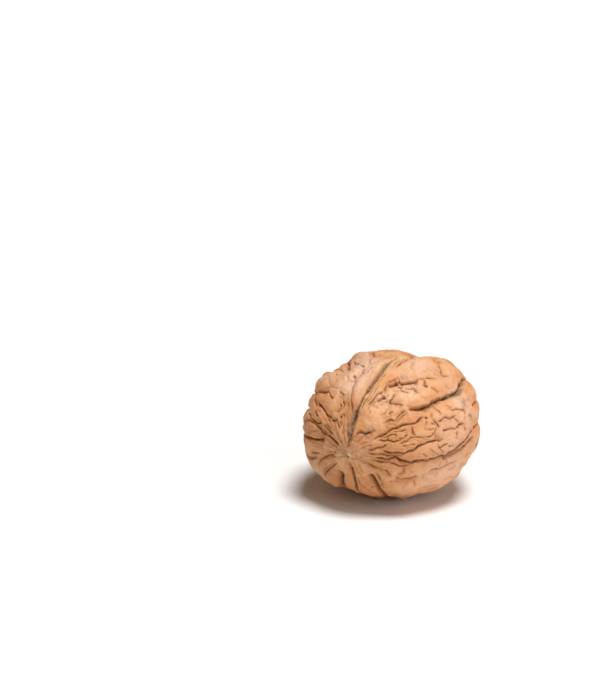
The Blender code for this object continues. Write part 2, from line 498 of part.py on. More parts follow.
def raise_lobes(points, lobes):
    height = np.zeros(len(points))
    for lobe in lobes:
        distance = np.linalg.norm(points - on_mean_shape(lobe.longitude, lobe.latitude), axis=1)
        height += lobe.height * MM * np.exp(-((distance / (lobe.reach * MM)) ** 2))
    return height


def shown(longitude, latitude):
    """Whether the hand-placed creases cover this place."""
    return float(direction(longitude, latitude) @ SHOWN_FROM) > SHOWN_COSINE


def grow_furrow(chance, longitude):
    """Crease routes from scar to tip near one longitude, broken where the nut's shown side begins."""
    routes, route = [], []
    drift = chance.uniform(-0.5, 0.5)
    for latitude in range(FURROW_ENDS[0], FURROW_ENDS[1] + 1, FURROW_STEP):
        drift = 0.6 * drift + chance.uniform(-1.9, 1.9)
        longitude += drift
        breaks = chance.random() < 0.07
        if shown(longitude, latitude) or breaks:
            routes.append(route)
            route = []
        else:
            route.append((longitude, latitude))
    return [found for found in [*routes, route] if len(found) > 2]


def grow_creases():
    """Furrows all round the hidden side, and the short cross creases that part them into pillows."""
    chance = random.Random(GROWTH_SEED)
    spacing = 360 / GROWN_FURROWS
    grown = []
    for number in range(GROWN_FURROWS):
        longitude = number * spacing + chance.uniform(-0.3, 0.3) * spacing
        deep = chance.uniform(0.45, 1.0) if number % 3 else chance.uniform(0.8, 1.2)
        for route in grow_furrow(chance, longitude):
            grown.append(Crease(deep, chance.uniform(0.36, 0.52), tuple(route)))
        latitude = FURROW_ENDS[0] + chance.uniform(8, 20)
        while latitude < FURROW_ENDS[1] - 10:
            end = (longitude + spacing * chance.uniform(0.8, 1.15), latitude + chance.uniform(-6, 8))
            middle = (0.5 * (longitude + end[0]), 0.5 * (latitude + end[1]) + chance.uniform(-2.5, 2.5))
            if not shown(*middle):
                grown.append(Crease(chance.uniform(0.28, 0.48), 0.34, ((longitude, latitude), middle, end)))
            latitude += chance.uniform(9, 19)
    return tuple(grown)


def noise_at(points, scale, offset=0.0):
    """Smooth noise of about -1 to 1, with features of this size."""
    shift = Vector((offset, 2.0 * offset, -offset))
    return np.array([noise.noise(Vector(point) + shift) for point in points / scale])


def unevenness(points):
    """The slow swell of the shell, the smaller dents in it, and small pillows drawn out along the nut."""
    swell = 0.45 * noise_at(points, 7.0 * MM) + 0.16 * noise_at(points, 2.6 * MM, 9.0)
    stretched = points * np.array((1.0, 0.6, 1.0))
    pillows = np.minimum(np.abs(noise_at(stretched, 2.6 * MM, 3.0)), 0.45)
    strength = 0.35 + 0.65 * smoothstep(noise_at(points, 6.0 * MM, 7.0), -0.35, 0.35)
    return MM * (swell + 0.45 * strength * pillows + 0.05)


def tip_rays(directions):
    """Fine ridges that run out from the tip."""
    latitude = np.degrees(np.arcsin(-directions[:, 1]))
    strength = smoothstep(latitude, 50, 68) * (1.0 - smoothstep(latitude, 80, 88))
    around = directions[:, (0, 2)] / np.maximum(np.hypot(directions[:, 0], directions[:, 2]), 1e-9)[:, None]
    ridges = np.array([abs(noise.noise(Vector((7.0 * x, 7.0 * z, 0.4)))) for x, z in around])
    return -0.40 * MM * strength * ridges


def resting_point():
    """The lowest point of the tilted mean shape, as a place on the untilted one."""
    down = np.array((0.0, -math.sin(NOSE_DOWN), -math.cos(NOSE_DOWN)))
    lowest = SEMI_AXES**2 * down
    return lowest / math.sqrt(lowest @ down)


def shape_nut(directions):
    """The shell's surface in each of these directions, before the nut is tilted on to its resting spot."""
    mean = directions * SEMI_AXES
    outward = directions / SEMI_AXES
    outward /= np.linalg.norm(outward, axis=1)[:, None]
    creases = (*SHOWN_CREASES, *grow_creases(), *SEAM_SLITS)
    relief = raise_lobes(mean, LOBES) + raise_bands(mean, SEAM_WELTS) + unevenness(mean) + tip_rays(directions)
    relief -= cut_creases(mean, creases)
    from_rest = np.linalg.norm(mean - resting_point(), axis=1)
    relief *= smoothstep(from_rest, 3.6 * MM, 8.0 * MM)
    return mean + relief[:, None] * outward


def tilt():
    """Takes the untilted nut to its place on the table, with the resting spot's middle at the origin."""
    turn = Matrix.Rotation(NOSE_DOWN, 4, "X")
    lowest = turn @ Vector(resting_point())
    return Matrix.Translation(-lowest - Vector((0, 0, FLAT_DEPTH))) @ turn


def full_mesh():
    """The shell with every crease, before its triangles are thinned out."""
    bm = bmesh.new()
    bmesh.ops.create_icosphere(bm, subdivisions=SPHERE_SUBDIVISIONS, radius=1.0)
    directions = np.array([vertex.co.normalized() for vertex in bm.verts])
    for vertex, place in zip(bm.verts, shape_nut(directions)):
        vertex.co = place
    bm.transform(tilt())
    mesh = bpy.data.meshes.new("walnut_full")
    bm.to_mesh(mesh)
    bm.free()
    return mesh


def thinned(mesh):
    """The same surface with fewer triangles, kept close together where it bends most."""
    helper = bpy.data.objects.new("thinning", mesh)
    bpy.context.scene.collection.objects.link(helper)
    decimate = helper.modifiers.new("Decimate", "DECIMATE")
    decimate.ratio = NODE_TRIANGLES / len(mesh.polygons)
    decimate.use_collapse_triangulate = True
    graph = bpy.context.evaluated_depsgraph_get()
    thin = bpy.data.meshes.new_from_object(helper.evaluated_get(graph))
    bpy.data.objects.remove(helper)
    bpy.data.meshes.remove(mesh)
    return thin


def cut_resting_spot(bm):
    """Takes off what lies below the table and closes the cut with one flat face."""
    everything = [*bm.verts, *bm.edges, *bm.faces]
    cut = bmesh.ops.bisect_plane(bm, geom=everything, plane_co=(0, 0, 0), plane_no=(0, 0, 1), clear_inner=True)
    rim = [item for item in cut["geom_cut"] if isinstance(item, bmesh.types.BMEdge)]
    bmesh.ops.edgeloop_fill(bm, edges=rim)
    bmesh.ops.triangulate(bm, faces=[face for face in bm.faces if len(face.verts) > 4])
    bmesh.ops.recalc_face_normals(bm, faces=bm.faces)


def shell_material():
    material = bpy.data.materials.new("walnut_shell")
    material.use_nodes = True
    surface = material.node_tree.nodes["Principled BSDF"]
    surface.inputs["Base Color"].default_value = SHELL_COLOUR
    surface.inputs["Roughness"].default_value = 0.62
    surface.inputs["Metallic"].default_value = 0.0
    return material


def make_walnut():
    mesh = thinned(full_mesh())
    mesh.name = "walnut"
    bm = bmesh.new()
    bm.from_mesh(mesh)
    cut_resting_spot(bm)
    bm.to_mesh(mesh)
    bm.free()
    mesh.shade_smooth()
    mesh.materials.append(shell_material())
    walnut = bpy.data.objects.new("walnut", mesh)
    bpy.context.scene.collection.objects.link(walnut)
    return walnut


def main():
    for old in list(bpy.data.objects):
        bpy.data.objects.remove(old)
    make_walnut()


main()
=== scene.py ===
# %% [markdown]
# # A walnut in its shell
# The nut lies on its seam and shows the pointed end, the upper seam and the right cheek. Everything that
# gives a walnut its look is relief: pillows parted by creases, two raised lips along the seam, fine lines
# that meet at the tip. So one dense mesh carries the real relief, and the materials only add colour and
# the finest grain.

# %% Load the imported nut
import math
import random
from collections import namedtuple
from itertools import product

import bmesh
import bpy
import numpy as np
from mathutils import Matrix, Vector, kdtree, noise


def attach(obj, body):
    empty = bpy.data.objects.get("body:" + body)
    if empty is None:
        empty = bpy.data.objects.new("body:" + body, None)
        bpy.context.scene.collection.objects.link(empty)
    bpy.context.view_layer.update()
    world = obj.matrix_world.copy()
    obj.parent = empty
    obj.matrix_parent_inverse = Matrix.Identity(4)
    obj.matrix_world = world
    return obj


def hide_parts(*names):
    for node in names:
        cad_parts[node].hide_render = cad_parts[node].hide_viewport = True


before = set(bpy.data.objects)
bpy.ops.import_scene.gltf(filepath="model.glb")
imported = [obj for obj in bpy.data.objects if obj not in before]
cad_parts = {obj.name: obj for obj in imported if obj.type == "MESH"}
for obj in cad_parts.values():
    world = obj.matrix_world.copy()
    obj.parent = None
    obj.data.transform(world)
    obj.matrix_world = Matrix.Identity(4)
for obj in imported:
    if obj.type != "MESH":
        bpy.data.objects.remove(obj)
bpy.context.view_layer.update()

# %% [markdown]
# ## The mean form
# A walnut is an egg that is a little flatter through its seam than from cheek to cheek. Each place on it
# is named as on a globe: longitude 0 is the right cheek, 90 the seam on top, -90 the seam below; latitude
# 90 is the tip and -90 the stem scar. Working on a globe lets a crease be a short route of places that
# can be read off a photograph.

# %% Sizes and the globe
MM = 0.001
LENGTH = 41.5 * MM
CHEEK_WIDTH = 39.4 * MM
SEAM_HEIGHT = 32.0 * MM
NOSE_DOWN = math.radians(3)
FLAT_DEPTH = 0.35 * MM
SEMI_AXES = np.array((CHEEK_WIDTH, LENGTH, SEAM_HEIGHT)) / 2


def direction(longitude, latitude):
    """Unit vectors from the nut's centre to these places."""
    lon, lat = np.radians(longitude), np.radians(latitude)
    return np.stack((np.cos(lat) * np.cos(lon), -np.sin(lat), np.cos(lat) * np.sin(lon)), axis=-1)


def on_mean_form(longitude, latitude):
    return direction(longitude, latitude) * SEMI_AXES


def smoothstep(value, low, high):
    share = np.clip((value - low) / (high - low), 0.0, 1.0)
    return share * share * (3.0 - 2.0 * share)


def resting_point():
    """The lowest point of the tilted mean form, as a place on the untilted one."""
    down = np.array((0.0, -math.sin(NOSE_DOWN), -math.cos(NOSE_DOWN)))
    lowest = SEMI_AXES**2 * down
    return lowest / math.sqrt(lowest @ down)


def tilt():
    """Takes the untilted nut to its place, with the middle of its resting spot at the origin."""
    turn = Matrix.Rotation(NOSE_DOWN, 4, "X")
    return Matrix.Translation(-(turn @ Vector(resting_point())) - Vector((0, 0, FLAT_DEPTH))) @ turn


NUT_CENTRE = tilt().translation
print("centre of the nut:", [round(1000 * value, 2) for value in NUT_CENTRE], "mm above the resting spot")

# %% [markdown]
# ## Lobes and seam
# The relief is read from coarse to fine. Lobes are broad swellings and dips: each is a row of its height
# and reach in millimetres, its longitude and its latitude. Bands are the raised lips of the seam, which
# runs over the top from tip to stem scar and back underneath.

# %% Lobes and the lips of the seam
Band = namedtuple("Band", "height half_width route")
Crease = namedtuple("Crease", "depth half_width soil route")


def creases_from(*rows):
    """Creases from rows of a depth, a half width, the soil and the places along the route."""
    return tuple(Crease(*row[:3], row[3:]) for row in rows)


LOBES = (
    (1.2, 4.5, -126, 46), (0.7, 4.0, -104, 54), (0.6, 4.5, -76, 48), (0.5, 7.0, -45, 38),
    (-0.6, 4.0, 84, -8), (0.6, 6.0, 62, -14), (0.8, 5.0, 55, -32), (-1.1, 3.6, 83, -25),
    (-0.8, 1.9, 82.5, -25), (-1.4, 1.6, 2, -24), (0.35, 2.5, 28, -30), (0.5, 5.0, -46, 7),
    (0.4, 3.0, -17, -14), (-1.4, 2.1, -28, -6), (-1.2, 2.2, -78, 33), (-1.2, 1.8, -107, 40),
    (-0.8, 4.0, -97, 37), (1.1, 3.0, -151, 38), (-0.5, 2.3, 155, 17), (0.7, 2.6, 139, 8),
    (0.6, 3.0, 135, 22), (0.4, 2.2, 174, 29), (-1.2, 1.5, 134, 4), (-1.3, 1.4, 126, -2),
    (-0.6, 2.0, 145, 14), (0.5, 1.5, 138, 7), (0.6, 1.2, 130, 1), (0.4, 2.0, 121, -7), (0.4, 2.0, 100, -20),
    (0.4, 2.4, 176, 42), (0.5, 3.2, 117, -9), (0.5, 5.0, 137, 30), (0.4, 5.0, 172, 42), (0.3, 3.0, 105, 24),
    (0.3, 3.0, 124, 31), (0.3, 2.8, 130, 47), (0.3, 2.6, 167, 51), (0.3, 2.2, 61, 35),
    (-0.35, 2.2, 64, 53.5), (0.9, 3.6, 66, 6), (-0.8, 2.8, 69, 27), (0.5, 3.5, 49, 13),
    (0.6, 8.0, 150, -35), (0.5, 7.0, -150, -25), (-0.5, 6.0, -170, 5), (0.5, 7.0, 60, -50),
    (-0.6, 3.2, 90, -88),
)
SEAM_TOP = (
    (135, 86.8), (105, 84.5), (99, 82), (96, 79.5), (93.5, 77), (93, 75), (93, 71), (92.5, 67), (90.3, 63),
    (89.3, 58), (88, 51.5), (87.3, 45.5), (87.3, 41), (87.3, 38), (87, 33), (86.5, 28), (85.8, 21),
    (85.5, 16), (84.3, 8), (82.5, -2), (82, -12), (83, -22), (85, -35), (87, -48), (88, -60), (89, -73),
    (90, -86),
)
SEAM_BELOW = (
    (-140, 87), (-106, 82.5), (-95, 79), (-91.5, 75.5), (-91, 71), (-90.5, 66), (-90.5, 61), (-91.5, 56.5),
    (-91.5, 52.5), (-91, 48), (-90, 40), (-90, 25), (-90, 10), (-89, -5), (-88, -20), (-89, -35),
    (-90, -50), (-90.5, -68), (-91, -86),
)
SEAM_WELTS = (
    Band(0.50, 2.1, SEAM_TOP),
    Band(-1.1, 1.9, ((82, -6), (82, -14), (83, -22), (85, -35), (86, -46), (87, -56))),
    Band(0.45, 2.0, SEAM_BELOW),
    Band(0.60, 1.4, ((97, 55), (98, 46), (98, 38), (95.5, 30), (92, 22), (89, 12))),
    Band(0.30, 1.0, ((84, 60), (83, 50), (81.5, 42), (81, 34), (81, 24), (80, 14), (80, 5))),
)

# %% [markdown]
# ## The creases that the photograph shows
# Each crease is a row of its depth and half width in millimetres, how much dark dirt and husk it still
# holds, and the places on its route. The slit between the lips of the seam changes on its way: wide at
# the tip, narrow and black after that, then shallow, and on the far side plain again.

# %% Along the seam and by the tip
SEAM_SLITS = creases_from(
    (0.55, 0.22, 0.9, (125, 86.5), (106, 84), (99, 82), (96, 79.5), (94, 77), (93, 73), (93, 69)),
    (0.6, 0.5, 0.9, (98, 81), (96, 79.5), (93.5, 77), (93, 75), (93, 71), (92.5, 67), (90.3, 63),
     (89.3, 58), (88, 51.5)),
    (0.5, 0.8, 0.8, (98, 80), (97, 76), (96, 71), (94.3, 67), (92.3, 63), (90.6, 59), (89.4, 55)),
    (0.5, 0.42, 0.9, (92, 66), (90.5, 62), (89.3, 58), (88, 51.5), (87.3, 46)),
    (0.8, 0.24, 0.9, (92, 66), (90.3, 63), (89.3, 58), (88, 51.5), (87.3, 45.5), (87.3, 40), (87.3, 36)),
    (0.6, 0.8, 0.0, (87, 46), (86.3, 37), (85.8, 29), (85.8, 21), (86, 14), (86, 8), (85, 2)),
    (0.3, 0.55, 0.6, (87.2, 42), (86.3, 35), (85.8, 28), (85.8, 21), (86, 16), (86.2, 10)),
    (0.6, 0.35, 0.8, (82, -12), (83, -22), (85, -35), (87, -48), (88, -60), (89, -73), (90, -86)),
    (0.8, 0.2, 0.9, (-118, 84.5), (-100, 81), (-93, 77), (-91, 73), (-91, 69)),
    (1.0, 0.33, 1.0, *SEAM_BELOW[2:]),
)
SEAM_FLOOR = creases_from(
    (1.0, 1.5, 0.0, (86, 26), (86, 18), (85.5, 10), (84.5, 4), (83, -1), (82.5, -8), (82, -14)),
    (0.5, 0.7, 0.0, (91, 66), (88, 58), (86, 50), (84.5, 42), (83.5, 34), (83, 26)),
)
SEAM_LIP_CREASES = creases_from(
    (0.5, 0.35, 0.15, (95.5, 61), (96.5, 58), (97, 55), (98, 52), (99.8, 49.5), (101, 46), (102, 42),
     (102.2, 37), (102, 34), (100.5, 31), (99, 27), (99.5, 23), (100, 20)),
    (0.3, 0.35, 0.0, (100, 20), (97.5, 16.5), (96, 13), (92.5, 7.5), (91, 3), (88.5, -2), (86, -5),
     (84, -8), (83, -13)),
    (0.35, 0.28, 0.0, (92.4, 20), (94, 22.5), (94, 26), (95.5, 28), (97.3, 27.5), (98.7, 25)),
    (0.6, 0.28, 0.0, (119, -4), (115.5, 6), (110, 12), (104, 17), (100, 20)),
    (0.5, 0.32, 0.0, (108, -8), (106.8, -5), (104, -1), (100, 4), (98.5, 1), (97, -2)),
    (0.2, 0.3, 0.5, (100.3, 8), (99.5, 12), (98.5, 16)),
    (0.4, 0.6, 0.0, (105, 28.5), (103.5, 29.5), (102, 30.5)),
    (0.3, 0.35, 0.0, (101.7, 49.5), (101.6, 52), (101, 55)),
    (0.55, 0.32, 0.1, (80.5, 54), (79.5, 50), (79, 47), (78.5, 43.5), (77, 40), (75.5, 37), (76, 34),
     (77, 31), (78, 28.5)),
    (0.42, 0.2, 0.0, (85, 57), (84.2, 50), (83.5, 43), (82.8, 36), (82.3, 29), (82, 22)),
    (0.38, 0.2, 0.0, (82.6, 52), (81.6, 46), (80.8, 40), (80.4, 34)),
    (0.38, 0.2, 0.0, (81.5, 17), (81, 11), (80.3, 6), (80, 1)),
    (0.3, 0.25, 0.0, (79, 57), (78, 51.5), (77, 49.8), (76.4, 45.5)),
    (0.25, 0.25, 0.0, (75, 57), (75, 55), (75, 53.5)),
    (0.6, 0.26, 0.1, (79, 16), (78.3, 11), (78.4, 8), (78, 3.5), (77.7, 0), (77.5, -7)),
    (0.55, 0.26, 0.1, (77.5, 28.5), (76.5, 26), (75, 22.5), (74, 20.5)),
    (0.7, 0.4, 1.0, (81, -2.5), (79.5, -3.5), (78, -5), (77, -6)),
    (0.65, 0.5, 0.2, (75.5, 47), (73.5, 43.5), (71, 40.5)),
    (0.4, 0.35, 0.1, (75, 36), (74, 37), (73, 38)),
)
TIP_CREASES = creases_from(
    (0.6, 0.38, 0.3, (84, 78), (80, 74.5), (77, 72.3), (73, 71), (67, 70.8), (61.5, 70), (58, 68),
     (55, 65)),
    (0.35, 0.32, 0.0, (99, 82), (101, 74), (103, 66), (104, 60)),
    (0.28, 0.28, 0.0, (113, 81), (111, 73), (110, 66)),
    (0.22, 0.24, 0.0, (128, 81), (130, 76), (129, 70)),
    (0.3, 0.28, 0.0, (68, 80), (64, 74), (60, 70)),
    (0.2, 0.22, 0.0, (54, 80), (50, 77), (47, 74)),
    (0.22, 0.22, 0.0, (38, 81), (36, 77), (34, 73)),
    (0.2, 0.22, 0.0, (4, 82), (0, 79), (-2, 76)),
    (0.2, 0.22, 0.0, (-24, 82), (-24, 77), (-25, 72), (-24, 67)),
    (0.2, 0.22, 0.0, (-60, 81), (-66, 76), (-70, 71)),
)
print(len(SEAM_LIP_CREASES) + len(TIP_CREASES), "creases along the seam and by the tip")

# %% The left cheek
LEFT_CHEEK_ABOVE = creases_from(
    (1.2, 0.42, 0.5, (136, -16), (130, -8), (125.5, -2), (121, 4), (118, 10), (115, 16), (112.5, 22)),
    (1.5, 0.4, 0.1, (142, -8), (138, -2), (134, 4), (130, 10), (127, 15)),
    (0.5, 0.3, 0.0, (126, 12), (122, 16), (117.5, 19), (114.5, 21)),
    (0.3, 0.25, 0.0, (113, 17), (111, 17), (109.5, 17.5)),
    (0.25, 0.28, 0.0, (121.5, 22.5), (120, 25.5), (117, 25.5)),
    (0.35, 0.3, 0.1, (115.5, 40), (113, 41.5), (110.5, 43.5), (111, 45), (114, 48)),
    (0.35, 0.28, 0.1, (108.5, 43.5), (110, 47), (109.5, 49.5)),
    (0.9, 0.36, 0.0, (166, 3), (160, 10), (154, 17), (147, 25), (140, 32), (136, 33.5), (131.5, 36),
     (125, 39)),
    (0.45, 0.25, 0.0, (124.5, 39.5), (123.5, 42), (120.5, 46)),
    (0.5, 0.4, 0.0, (142, 30.5), (143, 35.5), (142.5, 40.5), (142, 44.5)),
    (0.7, 0.38, 0.1, (139.5, 41), (138.5, 43.5), (137, 47.5), (134.5, 52), (133, 56), (130, 58),
     (127.5, 60)),
    (0.6, 0.35, 0.2, (128.5, 60), (127, 61.5), (123.5, 62.5), (121.5, 62), (119.5, 61.5)),
    (0.5, 0.3, 0.0, (144.5, 46), (145.5, 50.5), (143.5, 53)),
    (0.45, 0.3, 0.1, (154, 43.5), (155, 46), (155.5, 48.5)),
    (0.9, 0.36, 0.2, (172, 12), (167, 19), (163, 25), (159, 30), (156.5, 34), (155.5, 37), (156, 40)),
    (0.5, 0.35, 0.1, (162, 35), (161.5, 38), (161, 40)),
    (0.5, 0.35, 0.2, (113, 50.5), (113.5, 53.5), (116, 56), (117, 57.5)),
    (0.45, 0.35, 0.1, (109.5, 49), (109, 52), (109.3, 54)),
    (0.4, 0.32, 0.1, (108, 59), (108, 60.5), (108, 62)),
    (0.45, 0.5, 0.4, (113.5, 60), (113, 61), (112.5, 62)),
    (1.1, 0.36, 0.5, (186, 26), (182, 36), (180, 44.5), (178.2, 49.5), (176.3, 55), (174.2, 59.6),
     (171, 64), (169, 67)),
    (0.25, 0.25, 0.0, (163, 76), (161.5, 77.5), (160, 79)),
    (0.6, 0.33, 0.2, (160.5, 43.5), (160, 46), (156, 51.5), (155.5, 54), (155.5, 56.5), (155.5, 59),
     (157, 61.5), (157, 63.5), (156, 66), (155, 67.5), (153, 69), (152, 71.5), (151.5, 74), (152, 76),
     (151, 78), (147, 79.5)),
    (0.3, 0.25, 0.0, (154, 59), (152.5, 62), (152, 66)),
    (0.8, 0.36, 0.1, (187, 18), (182, 25), (177, 31), (172.5, 35.5), (168.5, 37), (167, 40), (164, 42.5),
     (161, 44)),
    (0.6, 0.35, 0.2, (155, 48), (154, 51), (152, 54.5), (147.5, 56.5), (143, 56.5)),
    (0.3, 0.4, 0.0, (135.5, 55), (133.5, 58), (132.5, 61.5)),
    (0.35, 0.35, 0.0, (142.5, 59), (144, 62), (143, 65), (142, 68.5), (141.5, 71)),
    (0.3, 0.3, 0.0, (139.5, 60.5), (139, 63.5), (137, 66.5)),
    (0.45, 0.32, 0.1, (120.5, 63), (120.5, 66), (119.5, 69.5)),
    (0.35, 0.3, 0.0, (114.5, 64.5), (115, 67), (117, 68.5)),
    (0.25, 0.4, 0.0, (114, 71), (115, 73), (116, 75)),
)
LEFT_CHEEK_BELOW = creases_from(
    (0.4, 0.33, 0.1, (-161.5, 48), (-161.5, 51), (-163, 56.5), (-163.5, 62)),
    (0.6, 0.38, 0.2, (-157, 38), (-155, 41.5), (-154, 46.5), (-154.5, 51), (-156, 55)),
    (0.5, 0.36, 0.1, (-145, 52.5), (-149.5, 56.5), (-153.5, 61.5), (-157, 66), (-160, 70), (-161.5, 74),
     (-161, 77)),
    (0.2, 0.3, 0.0, (-168, 70.5), (-173, 75), (-175, 79)),
    (0.4, 0.33, 0.0, (-137, 53.5), (-138, 59), (-139, 65), (-140, 69), (-141, 73)),
    (0.6, 0.38, 0.2, (-132, 51), (-133.5, 56), (-134, 60), (-135, 64.5), (-136.5, 68.5), (-137, 72),
     (-137, 75)),
    (1.8, 0.9, 0.4, (-118, 70), (-115.5, 65), (-113, 60), (-111, 55), (-109.5, 49), (-107, 40), (-105, 30)),
)
print(len(LEFT_CHEEK_ABOVE) + len(LEFT_CHEEK_BELOW), "creases on the left cheek")

# %% The right cheek below the tip
LOWER_RIGHT = creases_from(
    (0.35, 0.4, 0.0, (-84, 69), (-84, 62), (-81, 57), (-78, 53)),
    (0.25, 0.35, 0.0, (-78, 74), (-75, 72), (-72, 70)),
    (1.3, 0.8, 0.2, (-58, 70), (-61, 65), (-65, 58), (-67, 54), (-69, 49), (-71, 43), (-74, 37), (-78, 31),
     (-82, 24), (-84, 14)),
    (0.5, 0.4, 0.7, (-71.5, 58), (-70.5, 57), (-69.5, 56.5)),
    (0.45, 0.32, 0.1, (-45, 69), (-46.5, 67), (-48, 65.3), (-49.5, 63.7), (-53, 61), (-56, 58.3),
     (-57.5, 56), (-58.5, 53)),
    (0.35, 0.3, 0.0, (-57, 59.5), (-59.5, 56), (-60.5, 53)),
    (0.5, 0.33, 0.1, (-33, 80.3), (-32.5, 77.7), (-35, 75), (-34.5, 72.6), (-33.5, 71.2), (-31.5, 69.3),
     (-32.5, 67.2), (-31, 65.2), (-31.2, 63.6), (-33, 62.2), (-33.8, 60.7), (-32.3, 59.5)),
    (0.55, 0.33, 0.2, (-33.5, 58.2), (-33.3, 56.3), (-35.7, 54.3), (-35, 53), (-34, 51.7), (-31.8, 50.8),
     (-31, 48.9), (-30.3, 47.2), (-28.3, 46), (-27.2, 45), (-26, 44)),
    (0.3, 0.28, 0.0, (-30.5, 46.5), (-35, 43), (-40, 39.8)),
    (0.3, 0.3, 0.0, (-46.5, 57), (-43.5, 56), (-41.3, 55), (-40, 53)),
    (0.3, 0.35, 0.0, (-16, 56), (-17, 55), (-21, 54.5), (-24.5, 54.5), (-26.5, 56), (-27.8, 57.3)),
    (0.5, 0.32, 0.2, (-8, 79), (-13, 75), (-15.5, 72), (-15, 70.2), (-15.4, 67.8), (-13.5, 65.2),
     (-13.3, 63.4), (-13.6, 61.8), (-15.3, 60.2), (-16, 58.7), (-15.8, 57.2), (-15, 55.5), (-13.8, 54),
     (-12, 52.6), (-10.5, 51.5)),
    (0.3, 0.28, 0.2, (-7, 65.5), (-10.5, 65.3), (-13, 65)),
    (0.9, 0.38, 0.4, (-6.5, 75), (-7, 72.8), (-6.8, 70.8), (-8, 68.7), (-7.5, 67), (-6.3, 65.5), (-5, 64.5),
     (-3.7, 63), (-2.6, 62), (-3.2, 61), (-5.3, 60), (-7.5, 58.6), (-8.5, 57), (-9.2, 55), (-9.4, 52.7),
     (-9.7, 51), (-8.6, 49.7), (-7.6, 47.3), (-7.8, 44.5), (-8.2, 41.6), (-7.7, 38.5), (-7.2, 35.8),
     (-6.4, 33), (-6.5, 30.4), (-6, 27.5), (-5.3, 24.6), (-4.7, 22), (-4.1, 19.3), (-3.2, 16.7), (-1.7, 14),
     (-0.7, 12), (0, 9.5), (1.2, 6), (2.5, 3), (4, 0), (5, -5)),
    (0.5, 1.1, 0.0, (-8.5, 31), (-8, 25), (-7, 19), (-5, 12), (-3, 5), (-1, -2)),
    (0.4, 0.3, 0.0, (-23, 38), (-21, 35.9), (-20, 33.2), (-18.8, 30.6), (-17.5, 28), (-16.3, 25.1),
     (-15.3, 22.5), (-14.9, 20.4), (-14.5, 18), (-13, 16)),
    (0.2, 0.3, 0.0, (-24.5, 36), (-24.3, 33), (-22.8, 30.5), (-26, 29.3), (-29, 30.5)),
    (0.3, 0.35, 0.0, (-4, 18.5), (-5.5, 17.3), (-8.5, 17), (-11, 17)),
    (0.3, 0.3, 0.0, (-13.5, 9.5), (-12.3, 7), (-12, 4.8)),
    (0.25, 0.3, 0.0, (-23.5, 20.8), (-21, 21), (-20.5, 18), (-18.5, 16.3)),
    (0.25, 0.3, 0.0, (-33, 20.3), (-31.2, 17), (-29.5, 13.8)),
    (0.3, 0.4, 0.0, (-50, 22), (-45, 20), (-42, 18.5)),
    (0.28, 0.35, 0.0, (-44, 36), (-42, 27), (-39, 18)),
    (0.4, 0.35, 0.0, (-34, 14), (-33, 9), (-34, 3)),
)
print(len(LOWER_RIGHT), "creases below the tip")

